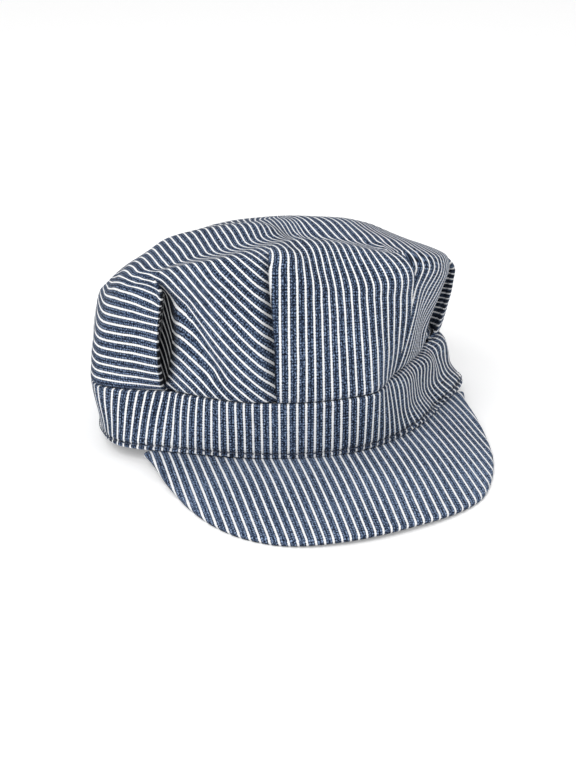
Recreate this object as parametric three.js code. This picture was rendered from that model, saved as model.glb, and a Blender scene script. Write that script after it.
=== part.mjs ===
// Railroad engineer cap of striped denim: a pleated crown, an upright band and a visor.
// Millimetres, +Z up, the front of the cap towards -Y, the wearer's left towards +X.
// The cap rests on a level surface at Z = 0, on the back of its band and the lip of its visor,
// with the middle of its footprint at the origin. The angles below are taken round the middle
// of the head opening.
import * as THREE from 'three';

// Head opening and band
const HALF_WIDTH = 98;
const BAND_HEIGHT = 29;
const BAND_WALL = 2.4;
const FRONT_RISE = 12;
const FLAT_BACK = 30;

// Crown
const CROWN_HEIGHT = 70;
const CROWN_WALL = 2;
const SHOULDER_ROUND = 15;
const SEAM_TUCK = 5;
const SEAM_SWELL = 2.2;
const SLUMP_DEGREES = 7.3;
const PLEAT_DEPTH = 10;

// Visor
const VISOR_LENGTH = 65;
const VISOR_WALL = 2.6;
const VISOR_ARCH = 4;
const LIP_FLAT = 0.8;

// Space left between neighbouring pieces
const CLEARANCE = 0.3;

// Lower edge of the band, the same on both sides.
// angle: degrees from the front, reach: share of HALF_WIDTH
const RING = [
  { angle: 0, reach: 0.868 },
  { angle: 12, reach: 0.858 },
  { angle: 27, reach: 0.833 },
  { angle: 42, reach: 0.826 },
  { angle: 54, reach: 0.840 },
  { angle: 64, reach: 0.880 },
  { angle: 72, reach: 0.940 },
  { angle: 80, reach: 0.984 },
  { angle: 90, reach: 0.970 },
  { angle: 105, reach: 0.925 },
  { angle: 125, reach: 0.925 },
  { angle: 150, reach: 0.955 },
  { angle: 180, reach: 0.970 },
];

// How far the band's upper edge leans out of (or, below zero, into) the cap.
// angle: degrees from the front towards the wearer's left, lean: share of BAND_HEIGHT
const LEAN = [
  { angle: -180, lean: -0.10 },
  { angle: -140, lean: -0.05 },
  { angle: -110, lean: 0.05 },
  { angle: -88, lean: 0.14 },
  { angle: -80, lean: -0.08 },
  { angle: -70, lean: -0.24 },
  { angle: -56, lean: -0.12 },
  { angle: -38, lean: 0.04 },
  { angle: -20, lean: 0.06 },
  { angle: 0, lean: 0.06 },
  { angle: 8, lean: 0.08 },
  { angle: 20, lean: -0.20 },
  { angle: 35, lean: -0.30 },
  { angle: 52, lean: -0.36 },
  { angle: 70, lean: -0.47 },
  { angle: 84, lean: -0.45 },
  { angle: 100, lean: -0.25 },
  { angle: 140, lean: -0.08 },
  { angle: 180, lean: -0.10 },
];

// Slackness of the band's wall, 0 where it stands straight. angle: degrees from the front
const BAND_SLACK = [
  { angle: -180, slack: 0.0 },
  { angle: 0, slack: 0.0 },
  { angle: 18, slack: 0.1 },
  { angle: 34, slack: 0.9 },
  { angle: 60, slack: 1.0 },
  { angle: 84, slack: 0.5 },
  { angle: 105, slack: 0.3 },
  { angle: 180, slack: 0.0 },
];
// Section of the slack wall: share of the band's height, share of its lean
const SLACK_WAY = [
  { height: 0.00, lean: 0.00 },
  { height: 0.12, lean: 0.20 },
  { height: 0.35, lean: 0.60 },
  { height: 0.60, lean: 0.66 },
  { height: 0.85, lean: 0.72 },
  { height: 1.00, lean: 1.00 },
];

// Crown over the band, the same on both sides before it slumps.
// angle: degrees from the front, belly: share of CROWN_HEIGHT that the wall swells out,
// reach: the shoulder's share of HALF_WIDTH, shoulder and middle: shares of CROWN_HEIGHT,
// round: share of SHOULDER_ROUND
const CROWN = [
  { angle: 0, belly: 0.00, reach: 0.805, shoulder: 1.000, middle: 1.010, round: 1.40 },
  { angle: 26, belly: 0.02, reach: 0.845, shoulder: 0.985, middle: 1.010, round: 0.95 },
  { angle: 48, belly: 0.00, reach: 0.850, shoulder: 0.910, middle: 1.000, round: 0.60 },
  { angle: 66, belly: 0.02, reach: 0.850, shoulder: 0.825, middle: 0.980, round: 0.65 },
  { angle: 80, belly: 0.02, reach: 0.900, shoulder: 0.740, middle: 0.955, round: 0.85 },
  { angle: 100, belly: 0.03, reach: 0.870, shoulder: 0.660, middle: 0.910, round: 1.00 },
  { angle: 125, belly: 0.03, reach: 0.850, shoulder: 0.590, middle: 0.845, round: 1.00 },
  { angle: 150, belly: 0.03, reach: 0.850, shoulder: 0.525, middle: 0.780, round: 1.00 },
  { angle: 180, belly: 0.04, reach: 0.855, shoulder: 0.500, middle: 0.760, round: 1.00 },
];
const CROWN_CENTRE = 1.0;

// Levels of the crown's profile from the seam (0) over the shoulder to the middle of the top (1).
// wall: share of the way from the seam's reach to the shoulder's, swell: share of the belly,
// rise: share of the shoulder's height, drop: how far below it, inset: how far inside its reach,
// both in shares of the shoulder's rounding
const PROFILE = [
  { level: 0.00, wall: 0.00, swell: 0.0, rise: 0.00, drop: 0.00, inset: 0.00 },
  { level: 0.22, wall: 0.35, swell: 1.0, rise: 0.32, drop: 0.00, inset: 0.00 },
  { level: 0.42, wall: 0.75, swell: 0.9, rise: 0.66, drop: 0.00, inset: 0.00 },
  { level: 0.55, wall: 1.00, swell: 0.0, rise: 1.00, drop: 0.65, inset: 0.00 },
  { level: 0.66, wall: 1.00, swell: 0.0, rise: 1.00, drop: 0.00, inset: 0.80 },
];
const MIDDLE_LEVEL = 0.82;
const MIDDLE_REACH = 0.45;

// The eight pleats. seam, half, upper and top: degrees from the front of the pleat's edge at the
// seam, half way, near its end and at its end, end: level of that end, over: the side that the
// upper layer lies on (1 towards larger angles), proud and sunk: how far the upper layer stands
// out and the under layer sinks, easeOver and easeUnder: widths over which they ease back,
// in shares of PLEAT_DEPTH
const PLEATS = [
  { seam: -155, half: -154, upper: -153, top: -153, end: 0.64, over: -1,
    proud: 0.12, sunk: 0.25, easeOver: 1.4, easeUnder: 1.2 },
  { seam: -112, half: -111, upper: -110, top: -109, end: 0.64, over: 1,
    proud: 0.12, sunk: 0.35, easeOver: 1.4, easeUnder: 1.2 },
  { seam: -67, half: -65, upper: -64, top: -70, end: 0.56, over: -1,
    proud: 0.40, sunk: 0.70, easeOver: 1.5, easeUnder: 0.8 },
  { seam: -24, half: -25, upper: -26, top: -27, end: 0.70, over: 1,
    proud: 0.22, sunk: 0.50, easeOver: 1.2, easeUnder: 0.5 },
  { seam: 20, half: 25, upper: 26.5, top: 27, end: 0.70, over: -1,
    proud: 0.20, sunk: 0.40, easeOver: 1.2, easeUnder: 0.7 },
  { seam: 70, half: 73, upper: 75, top: 74, end: 0.64, over: 1,
    proud: 0.10, sunk: 1.05, easeOver: 1.2, easeUnder: 1.3 },
  { seam: 112, half: 111, upper: 110, top: 109, end: 0.64, over: -1,
    proud: 0.12, sunk: 0.35, easeOver: 1.4, easeUnder: 1.2 },
  { seam: 155, half: 154, upper: 153, top: 153, end: 0.64, over: 1,
    proud: 0.12, sunk: 0.25, easeOver: 1.4, easeUnder: 1.2 },
];
// Shares of the way up a pleat to which its seam, half, upper and top angles belong
const PLEAT_STEPS = [0, 0.5, 0.8, 1];
// How far a pleat's edge stands out on the way up it: way, stand
const PLEAT_STAND = [
  { way: 0.00, stand: 0.05 },
  { way: 0.15, stand: 0.60 },
  { way: 0.42, stand: 1.00 },
  { way: 0.72, stand: 0.80 },
  { way: 0.88, stand: 0.25 },
  { way: 1.00, stand: 0.00 },
];
// Width of the step between a pleat's layers
const STEP_WIDTH = 3.5;

// Creases pressed into the cloth, and ridges where the depth is below zero.
// angle and level of both ends, depth and width: shares of PLEAT_DEPTH
const CREASES = [
  { angle1: -67, level1: 0.62, angle2: -4, level2: 0.86, depth: 0.35, width: 0.90 },
  { angle1: -84, level1: 0.735, angle2: -13, level2: 0.870, depth: -0.28, width: 1.00 },
  { angle1: -4, level1: 0.86, angle2: 25, level2: 0.69, depth: 0.50, width: 1.10 },
  { angle1: 20, level1: 0.90, angle2: 80, level2: 0.80, depth: -0.22, width: 1.30 },
  { angle1: -16, level1: 0.67, angle2: -3, level2: 0.52, depth: 0.16, width: 0.50 },
  { angle1: -67, level1: 0.47, angle2: -77, level2: 0.55, depth: 0.25, width: 0.40 },
  { angle1: -56, level1: 0.40, angle2: -47, level2: 0.16, depth: 0.30, width: 0.60 },
  { angle1: 30, level1: 0.52, angle2: 50, level2: 0.16, depth: 0.20, width: 1.00 },
  { angle1: 120, level1: 0.80, angle2: 170, level2: 0.72, depth: 0.25, width: 1.10 },
  { angle1: -140, level1: 0.74, angle2: -100, level2: 0.82, depth: 0.22, width: 1.00 },
];
const CREASE_STEPS = 8;

// Outer edge of the visor, from the wearer's right to the left.
// angle: degrees from the front, length: share of VISOR_LENGTH beyond the band,
// height: share of FRONT_RISE of the lip's underside over the surface that the cap rests on
const LIP = [
  { angle: -69, length: 0.04, height: 0.50 },
  { angle: -62, length: 0.18, height: 0.38 },
  { angle: -55, length: 0.34, height: 0.22 },
  { angle: -48, length: 0.51, height: 0.10 },
  { angle: -42, length: 0.68, height: 0.02 },
  { angle: -36, length: 0.85, height: 0.00 },
  { angle: -30, length: 0.985, height: 0.02 },
  { angle: -22, length: 1.08, height: 0.10 },
  { angle: -12, length: 1.07, height: 0.20 },
  { angle: 0, length: 1.00, height: 0.22 },
  { angle: 10, length: 0.96, height: 0.14 },
  { angle: 18, length: 0.90, height: 0.06 },
  { angle: 26, length: 0.765, height: 0.00 },
  { angle: 35, length: 0.60, height: 0.02 },
  { angle: 45, length: 0.42, height: 0.12 },
  { angle: 55, length: 0.26, height: 0.26 },
  { angle: 65, length: 0.10, height: 0.40 },
  { angle: 70, length: 0.04, height: 0.48 },
];

// Fineness of the faceted surfaces
const EDGE_OFFSETS = [-14, -6.5, -3, -1, 1, 3, 6.5, 14];
const PANEL_COLUMNS = 3;
const CROWN_LEVELS = [
  0.04, 0.09, 0.17, 0.27, 0.37, 0.46, 0.54, 0.60, 0.65, 0.70, 0.745, 0.79, 0.84, 0.89, 0.945,
];
const BAND_ROWS = 3;
const VISOR_COLUMNS = 38;
const VISOR_ROWS = 7;

// Forms of the curves between the named sizes
const LEAN_POWER = 1.2;
const RISE_POWER = 1.1;
const SETTLE_SHARE = 0.9;
const MEAN_REACH_SHARE = 0.9;
const ARCH_SHARE = 0.5;
const SLOPE_STEP = 0.004;

const RADIANS = Math.PI / 180;
const clamp = (value, low, high) => Math.min(high, Math.max(low, value));
const mix = (a, b, t) => a + (b - a) * t;
const smooth = (t) => {
  const c = clamp(t, 0, 1);
  return c * c * (3 - 2 * c);
};

// A smooth curve through the rows of a table, between its first and last key.
function curveThrough(keys, values, closed = false) {
  const last = keys.length - 1;
  const slopeAt = (i) => {
    if (closed && (i === 0 || i === last)) {
      return (values[1] - values[last - 1]) / (keys[1] - keys[0] + keys[last] - keys[last - 1]);
    }
    const before = Math.max(i - 1, 0);
    const after = Math.min(i + 1, last);
    return (values[after] - values[before]) / (keys[after] - keys[before]);
  };
  const slopes = keys.map((_, i) => slopeAt(i));
  return (key) => {
    const k = clamp(key, keys[0], keys[last]);
    let i = 0;
    while (i < last - 1 && keys[i + 1] <= k) i += 1;
    const span = keys[i + 1] - keys[i];
    const t = (k - keys[i]) / span;
    const a = (2 * t ** 3 - 3 * t ** 2 + 1) * values[i] + (t ** 3 - 2 * t ** 2 + t) * span * slopes[i];
    const b = (3 * t ** 2 - 2 * t ** 3) * values[i + 1] + (t ** 3 - t ** 2) * span * slopes[i + 1];
    return a + b;
  };
}

// A column of a table as a curve of the angle. A table that starts at 0 is mirrored.
function aroundCap(table, column, size) {
  const mirrored = table[0].angle === 0;
  const rows = mirrored
    ? [...table.slice(1).reverse().map((row) => ({ ...row, angle: -row.angle })), ...table]
    : table;
  const curve = curveThrough(rows.map((row) => row.angle), rows.map((row) => row[column] * size), true);
  return (angle) => curve(((angle + 540) % 360) - 180);
}

const lowerReach = aroundCap(RING, 'reach', HALF_WIDTH);
const upperLean = aroundCap(LEAN, 'lean', BAND_HEIGHT);
const bellyOut = aroundCap(CROWN, 'belly', CROWN_HEIGHT);
const shoulderReach = aroundCap(CROWN, 'reach', HALF_WIDTH);
const shoulderHeight = aroundCap(CROWN, 'shoulder', CROWN_HEIGHT);
const middleHeight = aroundCap(CROWN, 'middle', CROWN_HEIGHT);
const rounding = aroundCap(CROWN, 'round', SHOULDER_ROUND);
const slackness = aroundCap(BAND_SLACK, 'slack', 1);
const slackWay = curveThrough(SLACK_WAY.map((row) => row.height), SLACK_WAY.map((row) => row.lean));
const pleatStand = curveThrough(PLEAT_STAND.map((row) => row.way), PLEAT_STAND.map((row) => row.stand));

// Share of the band's height that the crown's hidden edge reaches down to
const TUCK_SHARE = 1 - SEAM_TUCK / BAND_HEIGHT;
const frontReach = lowerReach(0);
const backReach = lowerReach(180);
const millimetresPerDegree = RADIANS * HALF_WIDTH * MEAN_REACH_SHARE;

// Height of the band's lower edge over the resting surface, level along the back.
function liftAt(y) {
  const levelFrom = backReach - FLAT_BACK;
  return FRONT_RISE * clamp((levelFrom - y) / (levelFrom + frontReach), 0, 1) ** RISE_POWER;
}

function polar(angle, reach, z) {
  return new THREE.Vector3(reach * Math.sin(angle * RADIANS), -reach * Math.cos(angle * RADIANS), z);
}

// Outer face of the band: share 0 at its lower edge and 1 at the crown seam.
// Where the wall is slack it flares at the lower edge and rolls over at the seam.
function bandPoint(angle, share, inward = 0) {
  const way = mix(share ** LEAN_POWER, slackWay(share), slackness(angle));
  const reach = lowerReach(angle) + upperLean(angle) * way;
  const lift = liftAt(-lowerReach(angle) * Math.cos(angle * RADIANS));
  return polar(angle, reach - inward, lift + BAND_HEIGHT * share);
}

// Reach and height of the smooth crown over the seam at a level.
function crownProfile(angle, level) {
  const seam = lowerReach(angle) + upperLean(angle);
  const shoulder = shoulderReach(angle);
  const height = shoulderHeight(angle);
  const round = rounding(angle);
  const levels = PROFILE.map((row) => row.level);
  const reaches = PROFILE.map((row) => (
    mix(seam, shoulder, row.wall) + bellyOut(angle) * row.swell - round * row.inset
  ));
  const heights = PROFILE.map((row) => height * row.rise - round * row.drop);
  levels.push(MIDDLE_LEVEL, 1);
  reaches.push(shoulder * MIDDLE_REACH, 0);
  heights.push(middleHeight(angle), CROWN_CENTRE * CROWN_HEIGHT);
  return { reach: curveThrough(levels, reaches)(level), height: curveThrough(levels, heights)(level) };
}

// The smooth crown, slumped a little towards the wearer's left.
function crownBase(angle, level) {
  const { reach, height } = crownProfile(angle, level);
  const seamLift = liftAt(-lowerReach(angle) * Math.cos(angle * RADIANS));
  const settle = smooth(height / (SETTLE_SHARE * CROWN_HEIGHT));
  const point = polar(angle, reach, 0);
  const lift = mix(seamLift, liftAt(point.y), settle);
  point.z = lift + BAND_HEIGHT + height - Math.tan(SLUMP_DEGREES * RADIANS) * point.x * settle;
  return point;
}

// Outward direction of the smooth crown, in the upright plane through the middle.
function crownOutward(angle, level) {
  const below = crownProfile(angle, Math.max(level - SLOPE_STEP, 0));
  const above = crownProfile(angle, Math.min(level + SLOPE_STEP, 1));
  const run = above.reach - below.reach;
  const rise = above.height - below.height;
  return polar(angle, rise, -run).normalize();
}

// Angle of a pleat's edge at a level.
function pleatAngle(pleat, level) {
  const way = clamp(level / pleat.end, 0, 1);
  const angles = [pleat.seam, pleat.half, pleat.upper, pleat.top];
  let i = 0;
  while (i < PLEAT_STEPS.length - 2 && way > PLEAT_STEPS[i + 1]) i += 1;
  const share = (way - PLEAT_STEPS[i]) / (PLEAT_STEPS[i + 1] - PLEAT_STEPS[i]);
  return mix(angles[i], angles[i + 1], share);
}

// How far the pleats push the cloth out at a place on the crown.
function pleatPush(angle, level) {
  let push = 0;
  for (const pleat of PLEATS) {
    const stand = pleatStand(clamp(level / pleat.end, 0, 1)) * PLEAT_DEPTH;
    const turn = ((angle - pleatAngle(pleat, level) + 540) % 360) - 180;
    const away = pleat.over * turn * millimetresPerDegree;
    const upper = smooth(away / STEP_WIDTH + 0.5);
    const overEase = Math.exp(-((away / (pleat.easeOver * PLEAT_DEPTH)) ** 2));
    const underEase = Math.exp(-((away / (pleat.easeUnder * PLEAT_DEPTH)) ** 2));
    push += upper * pleat.proud * stand * overEase;
    push -= (1 - upper) * pleat.sunk * stand * underEase;
  }
  return push;
}

// The creases as short straight lines on the smooth crown.
const creases = CREASES.map((row) => {
  const places = [];
  for (let i = 0; i <= CREASE_STEPS; i += 1) {
    const share = i / CREASE_STEPS;
    places.push(crownBase(mix(row.angle1, row.angle2, share), mix(row.level1, row.level2, share)));
  }
  return {
    lines: places.slice(1).map((place, i) => new THREE.Line3(places[i], place)),
    depth: row.depth * PLEAT_DEPTH,
    width: row.width * PLEAT_DEPTH,
  };
});

function creasePush(point) {
  const nearest = new THREE.Vector3();
  let push = 0;
  for (const crease of creases) {
    const gaps = crease.lines.map((line) => (
      line.closestPointToPoint(point, true, nearest).distanceTo(point)
    ));
    push -= crease.depth * Math.exp(-((Math.min(...gaps) / crease.width) ** 2));
  }
  return push;
}

// Outer face of the crown with its pleats and creases.
function crownPoint(angle, level, inward = 0) {
  const point = crownBase(angle, level);
  const push = pleatPush(angle, level) + creasePush(point);
  return point.addScaledVector(crownOutward(angle, level), push - inward);
}

// Columns of the crown and band: close together at the pleats' edges.
function columnAngles() {
  const columns = [];
  PLEATS.forEach((pleat, index) => {
    EDGE_OFFSETS.forEach((offset) => columns.push({ index, turn: offset / millimetresPerDegree }));
    const next = PLEATS[(index + 1) % PLEATS.length];
    const gap = (next.seam - pleat.seam + 360) % 360;
    const margin = EDGE_OFFSETS[EDGE_OFFSETS.length - 1] / millimetresPerDegree;
    for (let i = 1; i <= PANEL_COLUMNS; i += 1) {
      const turn = margin + ((gap - 2 * margin) * i) / (PANEL_COLUMNS + 1);
      columns.push({ index, turn, share: turn / gap });
    }
  });
  return columns;
}

const columns = columnAngles();

// Angle of a column at a level: it follows the pleats' edges.
function columnAngle(column, level) {
  const pleat = PLEATS[column.index];
  const shift = pleatAngle(pleat, level) - pleat.seam;
  if (column.share === undefined) return pleat.seam + column.turn + shift;
  const next = PLEATS[(column.index + 1) % PLEATS.length];
  const nextShift = pleatAngle(next, level) - next.seam;
  return pleat.seam + column.turn + mix(shift, nextShift, column.share);
}

// A closed body between an outer and an inner grid of points, rows of closed rings.
// A row of one point closes the grid there.
function shell(outer, inner) {
  const positions = [];
  const faces = [];
  const addRows = (rows) => rows.map((row) => row.map((point) => {
    positions.push(point.x, point.y, point.z);
    return positions.length / 3 - 1;
  }));
  const join = (a, b, flip) => {
    const count = Math.max(a.length, b.length);
    for (let i = 0; i < count; i += 1) {
      const j = (i + 1) % count;
      const quad = [a[i % a.length], a[j % a.length], b[j % b.length], b[i % b.length]];
      const put = (p, q, r) => faces.push(...(flip ? [p, r, q] : [p, q, r]));
      if (b.length === 1) {
        put(quad[0], quad[1], quad[2]);
      } else {
        put(quad[0], quad[1], quad[2]);
        put(quad[0], quad[2], quad[3]);
      }
    }
  };
  const outerRows = addRows(outer);
  const innerRows = addRows(inner);
  for (let row = 0; row < outerRows.length - 1; row += 1) {
    join(outerRows[row], outerRows[row + 1], false);
    join(innerRows[row], innerRows[row + 1], true);
  }
  join(outerRows[0], innerRows[0], true);
  const top = outerRows.length - 1;
  if (outerRows[top].length > 1) join(outerRows[top], innerRows[top], false);
  return meshGeometry(positions, faces);
}

function meshGeometry(positions, faces) {
  const geometry = new THREE.BufferGeometry();
  geometry.setAttribute('position', new THREE.Float32BufferAttribute(positions, 3));
  geometry.setIndex(faces);
  geometry.computeVertexNormals();
  return geometry;
}

function makeCrown() {
  const outer = [];
  const inner = [];
  const hidden = BAND_WALL + CLEARANCE;
  outer.push(columns.map((column) => bandPoint(columnAngle(column, 0), TUCK_SHARE, hidden)));
  inner.push(columns.map((column) => bandPoint(columnAngle(column, 0), TUCK_SHARE, hidden + CROWN_WALL)));
  const rims = [
    { inward: hidden, rise: CLEARANCE },
    { inward: hidden - SEAM_SWELL, rise: CLEARANCE + SEAM_SWELL / 2 },
  ];
  for (const rim of rims) {
    const at = (column, extra) => {
      const point = bandPoint(columnAngle(column, 0), 1, rim.inward + extra);
      point.z += rim.rise;
      return point;
    };
    outer.push(columns.map((column) => at(column, 0)));
    inner.push(columns.map((column) => at(column, CROWN_WALL)));
  }
  for (const level of CROWN_LEVELS) {
    outer.push(columns.map((column) => crownPoint(columnAngle(column, level), level)));
    inner.push(columns.map((column) => crownPoint(columnAngle(column, level), level, CROWN_WALL)));
  }
  outer.push([crownPoint(0, 1)]);
  inner.push([crownPoint(0, 1, CROWN_WALL)]);
  return shell(outer, inner);
}

function makeBand() {
  const outer = [];
  const inner = [];
  const shares = [1];
  for (let row = BAND_ROWS; row >= 0; row -= 1) shares.unshift((TUCK_SHARE * row) / BAND_ROWS);
  for (const share of shares) {
    outer.push(columns.map((column) => bandPoint(columnAngle(column, 0), share)));
    inner.push(columns.map((column) => bandPoint(columnAngle(column, 0), share, BAND_WALL)));
  }
  return shell(outer, inner);
}

const lipAngles = LIP.map((row) => row.angle);
const lipLength = curveThrough(lipAngles, LIP.map((row) => row.length * VISOR_LENGTH));
const lipHeight = curveThrough(lipAngles, LIP.map((row) => row.height * FRONT_RISE));

// Upper face of the visor: share 0 under the band's inner face and 1 at the lip.
function visorPoint(angle, share) {
  const inner = lowerReach(angle) - BAND_WALL;
  const outer = lowerReach(angle) + lipLength(angle);
  const edge = liftAt(-lowerReach(angle) * Math.cos(angle * RADIANS)) - CLEARANCE;
  const level = BAND_WALL / (outer - inner);
  const away = clamp((share - level) / (1 - level), 0, 1);
  const lip = Math.max(lipHeight(angle) - LIP_FLAT, 0) + VISOR_WALL;
  const arch = VISOR_ARCH * (lipLength(angle) / VISOR_LENGTH) * Math.sin(Math.PI * away) * ARCH_SHARE;
  return polar(angle, mix(inner, outer, share), Math.min(mix(edge, lip, away) + arch, edge));
}

function makeVisor() {
  const first = lipAngles[0];
  const last = lipAngles[lipAngles.length - 1];
  const loops = [];
  for (let i = 0; i <= VISOR_COLUMNS; i += 1) {
    const angle = mix(first, last, i / VISOR_COLUMNS);
    const above = [];
    const below = [];
    for (let j = 0; j <= VISOR_ROWS; j += 1) {
      const point = visorPoint(angle, j / VISOR_ROWS);
      above.push(point);
      const under = point.clone();
      under.z = Math.max(point.z - VISOR_WALL, 0);
      below.push(under);
    }
    loops.push([...above, ...below.reverse()]);
  }
  return tube(loops);
}

// A closed body swept through loops of as many points each, with flat ends.
function tube(loops) {
  const size = loops[0].length;
  const half = size / 2;
  const positions = loops.flat().flatMap((point) => [point.x, point.y, point.z]);
  const faces = [];
  for (let i = 0; i < loops.length - 1; i += 1) {
    for (let j = 0; j < size; j += 1) {
      const a = i * size + j;
      const b = i * size + ((j + 1) % size);
      faces.push(a, b, b + size, a, b + size, a + size);
    }
  }
  const cap = (start, flip) => {
    for (let j = 0; j < half - 1; j += 1) {
      const a = start + j;
      const b = start + j + 1;
      const c = start + size - 2 - j;
      const d = start + size - 1 - j;
      faces.push(...(flip ? [a, c, b, a, d, c] : [a, b, c, a, c, d]));
    }
  };
  cap(0, true);
  cap((loops.length - 1) * size, false);
  return meshGeometry(positions, faces);
}

function piece(name, geometry, color, roughness) {
  const mesh = new THREE.Mesh(geometry, new THREE.MeshStandardMaterial({ color, roughness, metalness: 0 }));
  mesh.name = name;
  return mesh;
}

const cap = new THREE.Group();
cap.add(piece('crown', makeCrown(), 0x6f7f9e, 0.92));
cap.add(piece('band', makeBand(), 0x67779a, 0.9));
cap.add(piece('visor', makeVisor(), 0x5f6f92, 0.88));

// The middle of the cap's footprint is the origin.
const footprint = new THREE.Box3().setFromObject(cap).getCenter(new THREE.Vector3());
cap.position.set(-footprint.x, -footprint.y, 0);

export default cap;
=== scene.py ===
"""A railroad engineer cap of striped denim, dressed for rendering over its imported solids."""
import math
from collections import namedtuple

import bmesh
import bpy
import numpy as np
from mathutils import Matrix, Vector, noise


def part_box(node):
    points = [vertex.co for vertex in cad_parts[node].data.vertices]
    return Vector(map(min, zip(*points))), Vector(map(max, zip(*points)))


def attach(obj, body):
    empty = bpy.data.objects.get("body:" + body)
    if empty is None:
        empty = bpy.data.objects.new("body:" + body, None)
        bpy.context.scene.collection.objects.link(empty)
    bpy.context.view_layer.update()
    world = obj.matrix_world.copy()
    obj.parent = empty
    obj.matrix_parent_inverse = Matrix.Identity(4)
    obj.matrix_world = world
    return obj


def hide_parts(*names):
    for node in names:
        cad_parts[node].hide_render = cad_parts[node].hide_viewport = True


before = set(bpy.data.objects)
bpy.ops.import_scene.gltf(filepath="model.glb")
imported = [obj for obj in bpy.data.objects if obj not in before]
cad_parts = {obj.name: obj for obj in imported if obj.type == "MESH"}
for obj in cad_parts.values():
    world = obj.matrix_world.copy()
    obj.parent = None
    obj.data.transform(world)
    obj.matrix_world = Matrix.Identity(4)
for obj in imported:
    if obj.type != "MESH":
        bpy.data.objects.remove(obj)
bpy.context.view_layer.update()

bl_info = {
    "name": "Railroad engineer cap",
    "version": (1, 0, 0),
    "blender": (4, 5, 0),
    "location": "View3D > Sidebar > Cap",
    "description": "Builds a pleated cap of striped denim with its band, visor and stitching",
    "category": "Object",
}

MM = 0.001

# Lower edge of the band, the same on both sides: degrees from the front, share of the half width.
RING = [
    (0, 0.868), (12, 0.858), (27, 0.833), (42, 0.826), (54, 0.840), (64, 0.880), (72, 0.940),
    (80, 0.984), (90, 0.970), (105, 0.925), (125, 0.925), (150, 0.955), (180, 0.970),
]

# Lean of the band's upper edge: degrees from the front towards the wearer's left, share of its height.
LEAN = [
    (-180, -0.10), (-140, -0.05), (-110, 0.05), (-88, 0.14), (-80, -0.08), (-70, -0.24), (-56, -0.12),
    (-38, 0.04), (-20, 0.06), (0, 0.06), (8, 0.08), (20, -0.20), (35, -0.30), (52, -0.36), (70, -0.47),
    (84, -0.45), (100, -0.25), (140, -0.08), (180, -0.10),
]

# Slackness of the band's wall: degrees from the front, share. Its way in: share of the height,
# share of the lean.
BAND_SLACK = [(-180, 0.0), (0, 0.0), (18, 0.1), (34, 0.9), (60, 1.0), (84, 0.5), (105, 0.3), (180, 0.0)]
SLACK_WAY = [(0.0, 0.0), (0.12, 0.20), (0.35, 0.60), (0.60, 0.66), (0.85, 0.72), (1.0, 1.0)]

# Crown over the band, before it slumps: degrees from the front, belly, shoulder reach,
# shoulder height, height half way in, rounding of the shoulder.
CROWN = [
    (0, 0.00, 0.805, 1.000, 1.010, 1.40),
    (26, 0.02, 0.845, 0.985, 1.010, 0.95),
    (48, 0.00, 0.850, 0.910, 1.000, 0.60),
    (66, 0.02, 0.850, 0.825, 0.980, 0.65),
    (80, 0.02, 0.900, 0.740, 0.955, 0.85),
    (100, 0.03, 0.870, 0.660, 0.910, 1.00),
    (125, 0.03, 0.850, 0.590, 0.845, 1.00),
    (150, 0.03, 0.850, 0.525, 0.780, 1.00),
    (180, 0.04, 0.855, 0.500, 0.760, 1.00),
]

# Profile of the crown from the seam to the shoulder: level, share of the wall's lean, share of
# the belly, share of the shoulder's height, drop and inset in shares of the shoulder's rounding.
PROFILE = [
    (0.00, 0.00, 0.0, 0.00, 0.00, 0.00),
    (0.22, 0.35, 1.0, 0.32, 0.00, 0.00),
    (0.42, 0.75, 0.9, 0.66, 0.00, 0.00),
    (0.55, 1.00, 0.0, 1.00, 0.65, 0.00),
    (0.66, 1.00, 0.0, 1.00, 0.00, 0.80),
]
MIDDLE_LEVEL = 0.82
MIDDLE_REACH = 0.45
CROWN_CENTRE = 1.0

# Pleats: degrees from the front at the seam, half way up, near the end and at the end of
# the fold, the level of that end, side of the upper layer, how proud its edge stands, how far the
# under layer sinks, how far they overlap at the seam, and width over which each layer eases back,
# in shares of the pleat depth.
Pleat = namedtuple("Pleat", "seam half upper top end side proud sunk overlap ease_over ease_under")
PLEATS = [Pleat(*row) for row in (
    (-155, -154, -153, -153, 0.64, -1, 0.12, 0.25, 1.6, 1.4, 1.2),
    (-112, -111, -110, -109, 0.64, 1, 0.12, 0.35, 1.6, 1.4, 1.2),
    (-67, -65, -64, -70, 0.56, -1, 0.40, 0.70, 1.2, 1.5, 0.8),
    (-24, -25, -26, -27, 0.70, 1, 0.22, 0.50, 1.6, 1.2, 0.5),
    (20, 25, 26.5, 27, 0.70, -1, 0.20, 0.40, 1.4, 1.2, 0.7),
    (70, 73, 75, 74, 0.64, 1, 0.10, 1.05, 0.4, 1.2, 1.3),
    (112, 111, 110, 109, 0.64, -1, 0.12, 0.35, 1.6, 1.4, 1.2),
    (155, 154, 153, 153, 0.64, 1, 0.12, 0.25, 1.6, 1.4, 1.2),
)]
PLEAT_STEPS = (0.0, 0.5, 0.8, 1.0)
PLEAT_STAND = [(0.00, 0.05), (0.15, 0.60), (0.42, 1.00), (0.72, 0.80), (0.88, 0.25), (1.00, 0.00)]

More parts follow.
